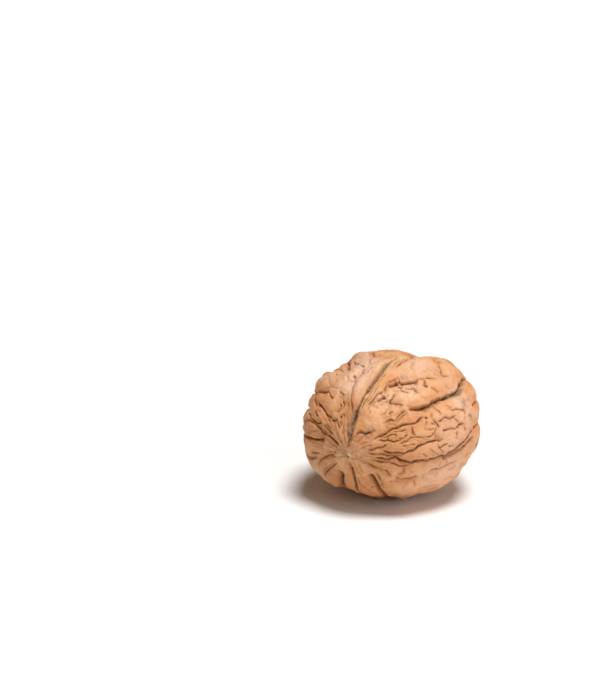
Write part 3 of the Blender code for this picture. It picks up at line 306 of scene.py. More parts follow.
# %% The rows of pillows on the right cheek
RIGHT_CHEEK = creases_from(
    (0.55, 0.33, 0.2, (16, 79), (13.5, 77.5), (8.5, 75), (6.3, 72.5), (5, 70), (2.5, 68), (1, 66.5),
     (0.5, 64), (0, 62), (0.5, 60), (1.5, 58.3), (3, 57)),
    (0.7, 0.35, 0.3, (15, 69), (11, 67.3), (8.5, 65.5), (6.5, 63.5), (5.3, 60.7), (5, 58.5), (4.2, 55.8),
     (5, 53.3), (5.8, 51), (7, 48.7), (8.7, 46.3), (9.8, 44.3), (10.2, 41.5), (10.9, 38.2), (10.5, 35.5),
     (10, 33), (9.7, 31), (10.3, 28.5)),
    (0.5, 0.3, 0.1, (25, 78), (23, 75), (21.7, 72), (21.3, 69.5), (21.3, 68.2), (23.5, 66.2), (25, 65.3)),
    (0.5, 0.32, 0.2, (38.5, 69.5), (36, 67.5), (31, 65), (27.5, 62.3), (24.3, 60.2), (24, 58.3),
     (23.7, 55.8), (24.7, 54.3)),
    (0.4, 0.3, 0.1, (23.7, 57.5), (22, 56.8), (19.7, 56.2), (19, 55.5), (19.6, 54), (19.3, 52.8),
     (21, 51.2), (21.3, 49), (20.8, 47.3), (20, 45.2), (18.2, 43), (17, 41.5), (15.3, 40.5), (13, 38.5)),
    (0.45, 0.28, 0.0, (33, 45.3), (30, 46.2), (27, 46.5), (24, 46.5), (21.5, 46.3)),
    (0.75, 0.33, 0.35, (42, 70.5), (42.5, 68), (41, 65.7), (41, 64), (40.2, 62.2), (41, 60.5), (41.4, 58),
     (40.8, 56), (39.7, 54.5), (39.6, 52.5), (39, 50.2), (38.2, 48.6), (36.5, 46), (34.8, 43.8),
     (33.7, 41.8), (34, 40), (35, 38), (34.8, 36.2), (34.7, 35)),
    (0.36, 0.25, 0.0, (39, 66.5), (37, 64), (34, 62.5)),
    (0.42, 0.26, 0.0, (33.5, 62), (35, 61.5), (34.5, 59.7), (32, 57.5), (28, 58)),
    (0.42, 0.26, 0.0, (33.5, 62), (31, 62.8), (28.5, 63.5)),
    (0.4, 0.24, 0.0, (37, 58), (35, 55.5), (33.5, 52.5), (33, 50), (30.5, 48.5)),
    (0.4, 0.24, 0.0, (27, 57.5), (25.5, 56), (24.5, 54), (26, 51.5), (27.5, 50)),
    (0.38, 0.24, 0.0, (28.5, 33.5), (25.5, 32), (22.5, 30.8), (20, 32), (18, 33.5)),
    (0.42, 0.25, 0.0, (19.5, 45), (17.5, 41), (16.5, 37.5), (17.5, 34), (19.5, 31.5)),
    (0.38, 0.24, 0.0, (15, 57), (13.5, 54), (13.8, 50.5), (12.5, 47.5)),
    (0.38, 0.24, 0.0, (2, 48), (0.5, 45), (-1.5, 42.5), (-3.5, 41)),
    (0.38, 0.24, 0.0, (5, 40), (2, 38), (-0.5, 36.5), (-2.5, 34), (-5, 33)),
    (0.38, 0.24, 0.0, (1.5, 32), (-1, 30.5), (-3.5, 30)),
    (0.38, 0.24, 0.0, (25, 17), (21.5, 15.5), (18.5, 13.5), (15.5, 13)),
    (0.38, 0.24, 0.0, (29, 25), (33, 23.5), (36, 24.5), (38.5, 23.5)),
    (0.45, 0.3, 0.4, (54, 59), (53.2, 56.5), (52.8, 55), (52, 53.2), (50.5, 52.5), (48.7, 52.2), (48, 50.8),
     (48.4, 49), (49, 46.5), (49.5, 43.5), (48.8, 41.5), (48, 39.5)),
    (0.35, 0.26, 0.1, (46, 52.5), (45.8, 50.8), (45.6, 48), (46, 45.5), (46.5, 43), (47.8, 40.3)),
    (0.45, 0.28, 0.0, (35, 16.2), (32, 15), (30.2, 13.3)),
    (0.4, 0.3, 0.0, (30.7, 19.3), (30, 16), (29, 14.8), (27.4, 12.4), (26.2, 8.3), (24.3, 4.5), (22.7, 3),
     (20.8, 3.7), (19, 1.7)),
    (0.35, 0.3, 0.0, (33, -3.5), (29.5, -3.5), (27.6, -5), (27.4, -9), (28, -12)),
    (0.38, 0.28, 0.0, (31.2, 34.8), (29.3, 36), (26.3, 37.5), (22.5, 39)),
    (0.25, 0.35, 0.0, (22.5, 39), (22, 36.3), (21.5, 34), (22, 32.8)),
    (0.5, 0.28, 0.0, (30, 31.5), (28.3, 30.8), (26.2, 30.3), (23.8, 29.6), (21.8, 29.8), (20, 29.8)),
    (0.45, 0.33, 0.2, (26.3, 28.5), (25.3, 27), (24.8, 25.8), (25, 24.2), (26, 22.5), (25, 21),
     (23.8, 19.7), (22.6, 19), (23, 16.8), (23, 14), (24, 12)),
    (0.3, 0.4, 0.0, (34.5, 29), (32.5, 30.5), (30.5, 31.8)),
    (0.4, 0.5, 0.0, (34, 33.5), (33.3, 34.3), (32.6, 35)),
    (0.6, 0.5, 0.4, (12.2, 15.8), (13.7, 14.8), (14.5, 13.5), (15, 12), (14, 9.5)),
    (0.45, 0.3, 0.1, (18, 5), (16.7, 7.5), (13.5, 9), (9.5, 8.5), (6.5, 8.5)),
    (0.4, 0.35, 0.3, (17, 28.5), (16.5, 26.5), (16, 23), (14.8, 19.7), (13.5, 17.8), (12, 17.3)),
    (0.48, 0.28, 0.0, (11.8, 17.8), (8, 18), (4.8, 18.5)),
    (0.35, 0.3, 0.0, (13, 34.5), (14, 33.4), (14.7, 32.3)),
    (0.48, 0.28, 0.1, (8.5, 33.5), (5.3, 33.2), (2.5, 31.7), (3.3, 29.3), (4.5, 27.2), (4.7, 26.3)),
    (0.42, 0.28, 0.0, (3, 24.8), (1, 24.5), (1.3, 22.3), (1.5, 21)),
    (0.3, 0.3, 0.0, (18.5, 1.5), (16.5, -1), (15.5, -4)),
    (0.25, 0.3, 0.0, (19.5, -6), (19, -7), (19, -8)),
)
GREAT_CREASES = creases_from(
    (0.9, 0.4, 0.35, (48, 39.5), (46.5, 37), (44.6, 35.5), (43.3, 33), (42, 30.2)),
    (1.25, 0.5, 0.5, (46, 37), (44.6, 35.5), (43.3, 33), (42, 30.2), (41.2, 28), (41.2, 25.5), (40.8, 22),
     (40.3, 19), (39.8, 15.3), (38.9, 12.2), (38.6, 9)),
    (1.25, 0.56, 1.0, (40.1, 17), (39.8, 15), (38.9, 12.2), (38.6, 8.4), (37.8, 5), (37.7, 1.5), (36.7, -2),
     (37.2, -6), (38.3, -9), (39.5, -13), (40, -20), (41, -26)),
    (0.35, 0.5, 0.6, (44, 37), (42.6, 35), (41.4, 33), (40.3, 30), (39.5, 27), (39.4, 24), (39, 20),
     (38.3, 16)),
    (0.35, 0.6, 0.8, (37.4, 9), (36.4, 4), (35.8, 0), (35.2, -4), (36, -9), (37.5, -14)),
    (0.6, 0.5, 0.9, (36.7, -2), (35.5, -5), (34.3, -7)),
)
print(len(RIGHT_CHEEK) + len(GREAT_CREASES), "creases on the right cheek")

# %% The crumpled part between the seam and the great crease
CRUMPLED = creases_from(
    (1.1, 0.7, 0.4, (76.5, 31), (74.5, 28.5), (73, 26.5), (71.5, 24.3)),
    (0.7, 0.4, 0.4, (71.5, 24), (71, 23.4), (70.5, 22.8)),
    (0.9, 0.4, 0.8, (70, 23.8), (69, 23.5), (66, 22), (64, 20.5), (62, 18.7), (60.5, 17.5)),
    (0.45, 0.28, 0.1, (63, 18.5), (61.5, 16.5), (59.5, 13.8), (57.8, 11.4), (55.3, 9.3), (52.3, 5.2)),
    (0.5, 0.3, 0.6, (58, 13.5), (56.8, 15), (55, 17), (53.3, 17.5), (51.6, 17.3)),
    (0.45, 0.28, 0.2, (51, 17), (48.5, 15), (46, 14.2), (44, 13.5)),
    (0.6, 0.33, 0.2, (60, -9), (59.2, -7.5), (56, -4.8), (54.2, -3), (52.7, -2), (51.3, -3.2), (49, -7.5)),
    (0.5, 0.33, 0.1, (69, -13), (67, -13), (64.8, -10.5), (62.8, -9.8), (61.8, -9.2), (61.5, -12),
     (60.8, -15)),
    (0.6, 0.35, 0.3, (69, 29), (68, 27.7), (66.5, 26.3)),
    (0.4, 0.28, 0.0, (68.5, 34), (67.5, 31), (65, 29.7), (62, 30), (59.5, 30), (58, 30)),
    (0.5, 0.28, 0.1, (64, 28), (61, 26), (59, 24.5), (56.5, 25), (53, 25.7)),
    (0.3, 0.25, 0.0, (63.5, 24.5), (62.7, 23.7), (62, 23)),
    (0.35, 0.25, 0.0, (61, 21), (60, 20), (59, 19)),
    (0.55, 0.3, 0.2, (67, 34.5), (66.3, 36), (65.7, 39), (65.3, 41.5), (64, 42.6), (61.5, 42), (59, 41),
     (57, 40), (55, 40), (53, 39)),
    (0.3, 0.25, 0.0, (53, 39), (50.5, 37.5), (48, 37)),
    (0.35, 0.25, 0.0, (68, 43), (67, 43), (66, 43)),
    (0.3, 0.25, 0.0, (60, 43.7), (56.5, 41.5), (54, 41.2)),
    (0.3, 0.25, 0.0, (58.5, 44.5), (57, 43.8), (55.5, 43)),
    (0.35, 0.28, 0.0, (55.8, 47), (57, 49.5), (58, 51)),
    (0.28, 0.24, 0.0, (63.5, 46), (62, 49), (62.5, 52), (64.5, 55)),
    (0.25, 0.22, 0.0, (70.5, 37), (70, 40), (69, 45), (70, 49)),
    (0.3, 0.3, 0.0, (63, 8), (62.2, 8.5), (61.5, 9)),
    (0.25, 0.5, 0.0, (46, 4), (44, 3.2), (42, 2.5)),
    (0.35, 0.45, 0.3, (63, -22), (60, -23.5), (56, -25), (50, -26)),
)
ROUND_THE_EDGE = creases_from(
    (1.0, 0.45, 0.5, (40, -20), (41, -28), (38, -37), (39, -47), (36, -58)),
    (0.7, 0.36, 0.1, (20, -10), (21, -19), (18.5, -28), (21, -38), (20, -50)),
    (0.95, 0.38, 0.2, (2, 0), (5, -8), (5, -16), (2, -24), (4, -34), (2, -45), (4, -55)),
    (0.65, 0.36, 0.1, (-12, -6), (-13, -15), (-11, -25), (-14, -35), (-12, -48)),
    (0.85, 0.4, 0.1, (-27, 4), (-28, -6), (-29, -17), (-26, -28), (-29, -40), (-28, -52)),
    (0.65, 0.36, 0.0, (-45, 14), (-44, 4), (-46, -7), (-43, -18), (-46, -30)),
    (0.75, 0.38, 0.0, (-62, 26), (-61, 14), (-64, 3), (-61, -9), (-64, -21)),
    (0.4, 0.32, 0.0, (22, -7), (29, -13), (39, -16)),
    (0.45, 0.32, 0.0, (20, -33), (29, -30), (38, -35)),
    (0.4, 0.32, 0.0, (4, -20), (12, -23), (20, -20)),
    (0.45, 0.32, 0.0, (4, -38), (12, -35), (20, -39)),
    (0.4, 0.32, 0.0, (-12, -19), (-5, -16), (3, -20)),
    (0.45, 0.32, 0.0, (-13, -40), (-5, -42), (3, -38)),
    (0.4, 0.32, 0.0, (-28, -14), (-20, -18), (-12, -14)),
    (0.45, 0.32, 0.0, (-28, -34), (-20, -31), (-13, -36)),
    (0.4, 0.32, 0.0, (-45, -3), (-37, -7), (-28, -3)),
    (0.4, 0.32, 0.0, (-44, -22), (-36, -19), (-27, -23)),
    (0.4, 0.32, 0.0, (-63, 9), (-54, 6), (-45, 10)),
    (0.4, 0.32, 0.0, (-62, -14), (-53, -11), (-44, -15)),
)
SHOWN_CREASES = (
    *SEAM_LIP_CREASES, *TIP_CREASES, *LEFT_CHEEK_ABOVE, *LEFT_CHEEK_BELOW,
    *LOWER_RIGHT, *RIGHT_CHEEK, *GREAT_CREASES, *CRUMPLED, *ROUND_THE_EDGE,
)
print(len(SHOWN_CREASES), "creases placed by hand")

# %% [markdown]
# ## The creases that it doesn't show
# Over the rest, furrows grow from the stem scar to the tip as they do on any walnut: they drift a little
# at each step, sometimes break off, and short cross creases part them into pillows.

# %% Grow the creases of the hidden side
SHOWN_FROM = np.array((0.47, -0.84, 0.26))
SHOWN_COSINE = 0.10
GROWTH_SEED = 11
GROWN_FURROWS = 23
FURROW_STEP = 6
FURROW_ENDS = (-76, 66)
FURROW_SOIL = 0.3
BREAK_CHANCE = 0.07
CROSS_HALF_WIDTH = 0.34
CROSS_SOIL = 0.1


def shown(longitude, latitude):
    """Whether the listed creases cover this place."""
    return float(direction(longitude, latitude) @ SHOWN_FROM) > SHOWN_COSINE


def grow_furrow(chance, longitude):
    """Crease routes from scar to tip near one longitude, broken where the nut's shown side begins."""
    routes, route = [], []
    drift = chance.uniform(-0.5, 0.5)
    for latitude in range(FURROW_ENDS[0], FURROW_ENDS[1] + 1, FURROW_STEP):
        drift = 0.6 * drift + chance.uniform(-1.9, 1.9)
        longitude += drift
        breaks = chance.random() < BREAK_CHANCE
        if shown(longitude, latitude) or breaks:
            routes.append(route)
            route = []
        else:
            route.append((longitude, latitude))
    return [found for found in [*routes, route] if len(found) > 2]


def grow_creases():
    """Furrows all round the hidden side, and the short cross creases that part them into pillows."""
    chance = random.Random(GROWTH_SEED)
    spacing = 360 / GROWN_FURROWS
    grown = []
    for number in range(GROWN_FURROWS):
        longitude = number * spacing + chance.uniform(-0.3, 0.3) * spacing
        deep = chance.uniform(0.45, 1.0) if number % 3 else chance.uniform(0.8, 1.2)
        for route in grow_furrow(chance, longitude):
            grown.append(Crease(deep, chance.uniform(0.36, 0.52), FURROW_SOIL, tuple(route)))
        latitude = FURROW_ENDS[0] + chance.uniform(8, 20)
        while latitude < FURROW_ENDS[1] - 10:
            end = (longitude + spacing * chance.uniform(0.8, 1.15), latitude + chance.uniform(-6, 8))
            middle = (0.5 * (longitude + end[0]), 0.5 * (latitude + end[1]) + chance.uniform(-2.5, 2.5))
            if not shown(*middle):
                across = ((longitude, latitude), middle, end)
                grown.append(Crease(chance.uniform(0.28, 0.48), CROSS_HALF_WIDTH, CROSS_SOIL, across))
            latitude += chance.uniform(9, 19)
    return tuple(grown)


GROWN_CREASES = grow_creases()
print(len(GROWN_CREASES), "grown creases")

# %% [markdown]
# ## Finding the points by a route
# The ball has hundreds of thousands of points and a crease concerns only a few of them. So the points are
# sorted into small cubes once, and each route then asks for the cubes that it passes.

# %% Points by cube
CUBE = 2.0 * MM
CUBES_ACROSS = 64


def cube_numbers(points):
    """One whole number for the small cube that each point is in."""
    cubes = np.floor(points / CUBE).astype(int) + CUBES_ACROSS // 2
    return (cubes[..., 0] * CUBES_ACROSS + cubes[..., 1]) * CUBES_ACROSS + cubes[..., 2]


def sorted_by_cube(points):
    numbers = cube_numbers(points)
    order = np.argsort(numbers, kind="stable")
    return numbers[order], order


def near(sorted_points, path, reach):
    """The points in the cubes that the path passes, and in the cubes round them."""
    numbers, order = sorted_points
    rings = math.ceil(reach / CUBE)
    shifts = CUBE * np.array(list(product(range(-rings, rings + 1), repeat=3)))
    wanted = np.unique(cube_numbers(path[:, None, :] + shifts))
    starts = np.searchsorted(numbers, wanted, "left")
    ends = np.searchsorted(numbers, wanted, "right")
    return np.concatenate([order[start:end] for start, end in zip(starts, ends)])


# %% [markdown]
# ## Pressing the routes into the form
# A smooth curve runs through each route. How deep the shell is at a point follows from its distance to
# the nearest curve: a sharp groove between two slopes, so that the shell between the creases swells like
# a pillow. Where creases meet, their depths aren't simply added up, because that would dig pits. The
# edges beside a groove are rolled up a little.

# %% From routes to relief
TAPER_LENGTH = 1.6 * MM
SHORT_TAPER = 0.22
GROOVE_SHARE, THIN_GROOVE_GAIN = 0.50, 0.15
SLOPE_SHARE, THIN_SLOPE_LOSS = 0.92, 0.34
ROLL_SHARE = 0.18
BOTTOM_WIDTH, VALLEY_WIDTH = 0.36, 0.9
HAIR = 0.11 * MM


def bell(distance, width):
    """1 at no distance, a third at the width, and next to nothing at twice the width."""
    return np.exp(-((distance / width) ** 2))


def curve_through(route, steps=5):
    """Points of a smooth curve through the route's own, on the mean form."""
    points = np.array([route[0], *route, route[-1]], float)
    share = np.linspace(0.0, 1.0, steps, endpoint=False)[:, None]
    legs = []
    for before, start, end, after in zip(points, points[1:], points[2:], points[3:]):
        legs.append(
            start
            + 0.5 * share * (end - before)
            + share**2 * (before - 2.5 * start + 2.0 * end - 0.5 * after)
            + share**3 * (1.5 * (start - end) + 0.5 * (after - before))
        )
    path = np.concatenate([*legs, points[-1:]])
    return on_mean_form(path[:, 0], path[:, 1])


def distance_along(points, path):
    """Each point's distance to the path, and how far along the path its nearest place is, from 0 to 1."""
    start, leg = path[:-1], np.diff(path, axis=0)
    leg_squared = np.maximum((leg**2).sum(1), 1e-12)
    squared = np.full(len(points), 1.0)
    along = np.zeros(len(points))
    for number in range(len(leg)):
        to_point = points - start[number]
        share = np.clip(to_point @ leg[number] / leg_squared[number], 0.0, 1.0)
        to_point -= share[:, None] * leg[number]
        here = np.einsum("ij,ij->i", to_point, to_point)
        closer = here < squared
        squared[closer] = here[closer]
        along[closer] = (number + share[closer]) / len(leg)
    return np.sqrt(squared), along


def taper_at_ends(along, path):
    """Falls off at both ends of a route, over the taper length or over a share of a short route."""
    length = np.linalg.norm(np.diff(path, axis=0), axis=1).sum()
    end = min(SHORT_TAPER, TAPER_LENGTH / length)
    return smoothstep(along, -0.2 * end, end) * smoothstep(1.0 - along, -0.2 * end, end)


def slope_reach(half_width):
    """How far the slopes beside a crease reach; a hair-thin crease still parts two round pillows."""
    return 0.45 * MM + 1.3 * half_width


def crease_profile(distance, half_width):
    """The sharp groove of a crease, flatter at the bottom if it is wide, and the slopes beside it."""
    steepness = 1.5 + 2.0 * smoothstep(half_width, 0.38 * MM, 0.55 * MM)
    groove = np.exp(-((distance / (0.45 * half_width)) ** steepness))
    reach = slope_reach(half_width)
    slopes = np.exp(-distance / reach) * (1.0 - smoothstep(distance, 2.2 * reach, 3.6 * reach))
    thin = 1.0 - smoothstep(half_width, 0.24 * MM, 0.38 * MM)
    groove *= GROOVE_SHARE + THIN_GROOVE_GAIN * thin
    slopes *= SLOPE_SHARE - THIN_SLOPE_LOSS * thin
    return groove, slopes


def press_creases(points, creases):
    """The depth of the creases, the rolled edges beside them, and the masks for their colour: painted shade
    in the grooves and on their slopes, dirt, and a painted highlight on the pillow tops.
    """
    grooves, slopes_cubed, rolls, bottom, valley, soil = np.zeros((6, len(points)))
    by_cube = sorted_by_cube(points)
    for crease in creases:
        path = curve_through(crease.route)
        half_width = crease.half_width * MM
        close = near(by_cube, path, 3.6 * slope_reach(half_width))
        distance, along = distance_along(points[close], path)
        taper = taper_at_ends(along, path)
        amount = crease.depth * taper
        groove, slopes = crease_profile(distance, half_width)
        slopes_cubed[close] += (amount * slopes) ** 3
        beside = ROLL_SHARE * amount * MM * bell(distance - 1.3 * half_width, 0.7 * half_width)
        # tight: the floor of the groove, where the material lays painted shade
        tight = np.minimum(1.9 * amount, 1.0) * bell(distance, max(BOTTOM_WIDTH * half_width, HAIR))
        # The valley mask marks the slopes of a crease, where the material lays painted shade; the seam's
        # floor uses the same mask for its pale and olive band.
        in_valley = bell(distance, VALLEY_WIDTH * half_width)
        wide = np.minimum(1.2 * amount, 1.0) * in_valley
        dirty = crease.soil * taper * in_valley
        values = (amount * groove, beside, tight, wide, dirty)
        for layer, value in zip((grooves, rolls, bottom, valley, soil), values):
            layer[close] = np.maximum(layer[close], value)
    slopes = np.cbrt(slopes_cubed)
    # where no crease slope reaches: the pillow tops, which get a painted highlight
    painted_highlight = 1.0 - smoothstep(slopes, 0.02, 0.22)
    masks = {"bottom": bottom, "valley": valley, "soil": soil, "painted_highlight": painted_highlight}
    return MM * (grooves + slopes), rolls, masks


def raise_bands(points, bands):
    """The height of the strips along the seam, which sinks where a band's own height is below zero."""
    height = np.zeros(len(points))
    by_cube = sorted_by_cube(points)
    for band in bands:
        path = curve_through(band.route)
        half_width = band.half_width * MM
        close = near(by_cube, path, 2.5 * half_width)
        distance, along = distance_along(points[close], path)
        height[close] += band.height * MM * taper_at_ends(along, path) * bell(distance, half_width)
    return height


def round_places(points, places):
    """Adds up soft round spots, each with a height, a reach, a longitude and a latitude."""
    total = np.zeros(len(points))
    for height, reach, longitude, latitude in places:
        distance = np.linalg.norm(points - on_mean_form(longitude, latitude), axis=1)
        total += height * bell(distance, reach * MM)
    return total


def spots(points, places):
    """A mask of soft round spots, 1 at most."""
    return np.minimum(round_places(points, places), 1.0)


at_half_width = float(sum(crease_profile(0.3 * MM, 0.3 * MM)))
print("a crease is", round(at_half_width, 2), "of its depth at its half width")

# %% [markdown]
# ## Unevenness
# Between the creases the shell is uneven too: slow swells, small dents, a fine net of wrinkles drawn out
# from scar to tip, thin ridges that run out from the tip like rays, and a few places where the shell is
# crumpled like paper. Both ends of the nut have a rough spot: the pale tip, and the dark scar where the
# stem was. The places of crumples and stains are rows of a strength, a reach in millimetres, a longitude
# and a latitude.

# %% Noise in several forms
CRACK_SEED = 5
CRACK_SPACING = 3.3 * MM
CRACK_WIDTH, CRACK_DEPTH = 0.11, 0.11
PILLOW_WIDTH, PILLOW_HEIGHT = 0.70, 0.16
CRUMPLED_PLACES = (
    (0.7, 1.3, 105.5, 28), (0.7, 1.3, 107, 36), (0.6, 1.2, 109, 44), (0.9, 1.3, 73, 34), (0.8, 1.5, 67, 28),
    (0.7, 1.5, 69, 41), (0.6, 2.5, -150, 20), (0.6, 3.0, 150, -50), (0.6, 2.5, 20, -45),
)
HUSKY_PLACES = (
    (1.0, 4.5, 38, -6), (1.0, 1.6, 79, -4), (0.5, 2.5, 92, 68),
)
GREY_STAINS = (
    (0.9, 1.2, 28, -0.5), (0.8, 1.0, 14, -2.5), (0.7, 0.7, 71.5, 19), (0.8, 0.5, 100.3, 9.5),
    (0.7, 0.8, 61.5, 70), (0.7, 0.6, 56, 66), (0.5, 0.4, 10.8, 38), (0.5, 0.4, 10.5, 35),
    (0.7, 1.0, 62, -23), (0.7, 1.0, 58, -24.5), (0.5, 1.5, -60, 62), (0.7, 1.2, -140, -20),
    (0.7, 1.5, 150, -30),
)
PALE_PLACES = (
    (0.8, 2.6, 99, 38), (0.9, 3.0, 98, 26), (0.9, 2.6, 95, 15), (0.7, 3.0, 108, 14), (0.8, 3.0, 112, 3),
    (0.8, 2.4, 106, 36), (0.6, 3.0, 126, 22), (0.7, 4.0, 68, 4), (0.7, 3.0, 60, 28), (0.6, 2.5, 72, 44),
    (0.5, 3.0, 30, 5), (0.45, 7.0, 8, 18), (0.45, 6.0, -28, 24), (0.5, 4.0, 36, -6),
)
BROWN_STAINS = (
    (0.7, 0.9, 131, 27), (0.7, 0.6, 172, 45), (0.7, 0.5, -144, 52), (0.5, 2.0, 57, 3),
    (0.4, 1.2, -27.5, 39.5), (0.5, 2.5, -130, 60), (0.6, 2.5, 160, -5), (0.6, 3.0, -60, -35),
)


def noise_at(points, scale, offset=0.0):
    """Smooth noise of about -1 to 1, with features of this size."""
    shift = Vector((offset, 2.0 * offset, -offset))
    return np.array([noise.noise(Vector(point) + shift) for point in points / scale])


def unevenness(points):
    return MM * (0.45 * noise_at(points, 7.0 * MM) + 0.16 * noise_at(points, 2.6 * MM, 9.0))


def billows(points):
    """Small pillows with sharp valleys between them, drawn out along the nut, stronger in some places."""
    stretched = points * np.array((1.0, 0.6, 1.0))
    coarse = np.abs(noise_at(stretched, 2.6 * MM, 3.0))
    fine = np.abs(noise_at(stretched, 1.2 * MM, 5.0))
    lines = np.exp(-np.abs(noise_at(stretched, 0.9 * MM, 21.0)) / 0.06)
    strength = 0.35 + 0.65 * smoothstep(noise_at(points, 6.0 * MM, 7.0), -0.35, 0.35)
    return MM * strength * (0.45 * np.minimum(coarse, 0.45) + 0.18 * np.minimum(fine, 0.4) - 0.06 * lines)


def scattered_seeds(spacing):
    """Points strewn evenly over the mean form, each nudged aside at random."""
    chance = random.Random(CRACK_SEED)
    count = round(4.0 * math.pi * float(np.mean(SEMI_AXES)) ** 2 / spacing**2)
    golden_turn = math.pi * (3.0 - math.sqrt(5.0))
    seeds = []
    for number in range(count):
        level = 1.0 - 2.0 * (number + 0.5) / count
        ring = math.sqrt(1.0 - level * level)
        turn = number * golden_turn
        seed = Vector((ring * math.cos(turn), level, ring * math.sin(turn))) * Vector(SEMI_AXES)
        seeds.append(seed + Vector([chance.uniform(-0.4, 0.4) * spacing for _ in range(3)]))
    return seeds


def crack_distance(points, seeds):
    """How far each point is from the border between its two nearest seeds."""
    tree = kdtree.KDTree(len(seeds))
    for number, seed in enumerate(seeds):
        tree.insert(seed, number)
    tree.balance()
    distances = np.empty(len(points))
    for number, point in enumerate(points):
        (first, _, to_first), (second, _, to_second) = tree.find_n(point, 2)
        distances[number] = (to_second**2 - to_first**2) / (2.0 * (second - first).length)
    return distances


def cracks(points, wandering):
    """The skin's own network of hair-thin cracks, strong in some places and missing in others."""
    patches = smoothstep(noise_at(points, 4.5 * MM, 31.0), -0.10, 0.40)
    patches *= 1.0 - smoothstep(-points[:, 1] / SEMI_AXES[1], 0.82, 0.90)
    border = crack_distance(wandering, scattered_seeds(CRACK_SPACING)) / MM
    line = patches * np.exp(-((border / CRACK_WIDTH) ** 1.3))
    pillow = patches * (1.0 - np.exp(-border / PILLOW_WIDTH))
    return MM * (PILLOW_HEIGHT * pillow - CRACK_DEPTH * line), line


def crumples(points, mask):
    """Sharp small ridges drawn out along the nut, only where the mask says so."""
    height = np.zeros(len(points))
    inside = np.flatnonzero(mask > 0.03)
    stretched = points[inside] * np.array((1.0, 0.5, 1.0))
    ridges = np.abs(noise_at(stretched, 0.80 * MM, 13.0))
    ridges += 0.6 * np.abs(noise_at(stretched, 0.42 * MM, 17.0))
    height[inside] = MM * mask[inside] * (0.12 - 0.55 * ridges)
    return height


def tip_rays(directions):
    """Fine ridges that run out from the tip."""
    latitude = np.degrees(np.arcsin(-directions[:, 1]))
    strength = smoothstep(latitude, 50, 66) * (1.0 - smoothstep(latitude, 85, 89))
    height = np.zeros(len(directions))
    inside = np.flatnonzero(strength > 0.0)
    flat = directions[inside][:, (0, 2)]
    around = flat / np.maximum(np.hypot(*flat.T), 1e-9)[:, None]
    broad, fine = (
        np.array([abs(noise.noise(Vector((closeness * x, closeness * z, level)))) for x, z in around])
        for closeness, level in ((7.0, 0.4), (19.0, 3.4))
    )
    height[inside] = -MM * strength[inside] * (0.40 * broad + 0.24 * fine)
    return height


def spot_at_end(points, end, aside, across, along):
    """A soft oval beside the tip (end -1) or the stem scar (end 1), longer along the seam."""
    oval = np.exp(-(((points[:, 0] - aside) / across) ** 2) - (points[:, 2] / along) ** 2)
    return np.where(np.sign(points[:, 1]) == end, oval, 0.0)


# %% [markdown]
# ## The shell mesh
# The edges of a ball of small triangles are halved where a listed crease runs, and its points are
# pushed out to the relief. A modifier then thins the triangles where the shell is smooth and keeps them
# close in the creases, so that the sharpest lines get the most points.

# %% Press the shell
SPHERE_SUBDIVISIONS = 8
SHELL_TRIANGLES = 198000
WANDER = 0.24 * MM
IN_GROOVE = 0.06


def wander_at(mean):
    """How far each point is moved before it is measured, so that no crease runs straight."""
    return WANDER * np.stack([noise_at(mean, 1.3 * MM, offset) for offset in (11.0, 23.0, 37.0)], axis=1)


def shape_nut(directions):
    """The shell's surface in each direction, with the masks that its colour follows."""
    mean = directions * SEMI_AXES
    outward = directions / SEMI_AXES
    outward /= np.linalg.norm(outward, axis=1)[:, None]
    wander = wander_at(mean)
    depth, rolls, masks = press_creases(mean + wander, (*SHOWN_CREASES, *GROWN_CREASES, *SEAM_SLITS))
    uneven_depth = 1.05 + 0.40 * wander[:, 0] / WANDER
    crumpled = spots(mean, CRUMPLED_PLACES)
    tip = spot_at_end(mean, -1, -0.5 * MM, 0.60 * MM, 1.45 * MM)
    scar = spot_at_end(mean, 1, 0.0, 1.8 * MM, 2.4 * MM)
    relief = MM * round_places(mean, LOBES) + raise_bands(mean, SEAM_WELTS) + unevenness(mean)
    cracked, crack_lines = cracks(mean, mean + 3.0 * wander)
    relief += tip_rays(directions) + billows(mean + 0.5 * wander) + cracked + rolls - uneven_depth * depth
    rough = np.maximum.reduce([crumpled, 0.9 * tip, scar, 0.5 * masks["soil"]])
    relief += crumples(mean, rough) + 0.35 * MM * tip
    from_rest = np.linalg.norm(mean - resting_point(), axis=1)
    relief *= smoothstep(from_rest, 3.6 * MM, 8.0 * MM)
    # The crack lines are dents and also carry painted shade in the material.
    masks |= {"crumpled": crumpled, "tip": tip, "scar": scar, "cracks": crack_lines}
    masks["seam"] = press_creases(mean, SEAM_FLOOR)[2]["valley"]
    ragged = mean + 1.5 * wander
    masks["husk"] = spots(mean, HUSKY_PLACES)
    masks["pale"] = spots(mean + 2.0 * wander, PALE_PLACES)
    masks["grey"] = spots(ragged, GREY_STAINS)
    masks["brown"] = spots(ragged, BROWN_STAINS)
    return mean + relief[:, None] * outward, masks


def split_at_creases(bm):
    """Halves the edges that lie in a listed crease, so that its groove gets enough points."""
    mean = np.array([vertex.co for vertex in bm.verts]) * SEMI_AXES
    _, _, masks = press_creases(mean + wander_at(mean), (*SHOWN_CREASES, *SEAM_SLITS))
    in_groove = masks["bottom"] > IN_GROOVE
    bm.verts.index_update()
    edges = [edge for edge in bm.edges if all(in_groove[vertex.index] for vertex in edge.verts)]
    bmesh.ops.subdivide_edges(bm, edges=edges, cuts=1)
    bmesh.ops.triangulate(bm, faces=[face for face in bm.faces if len(face.verts) > 3])
    print(len(edges), "edges split,", len(bm.verts), "points")


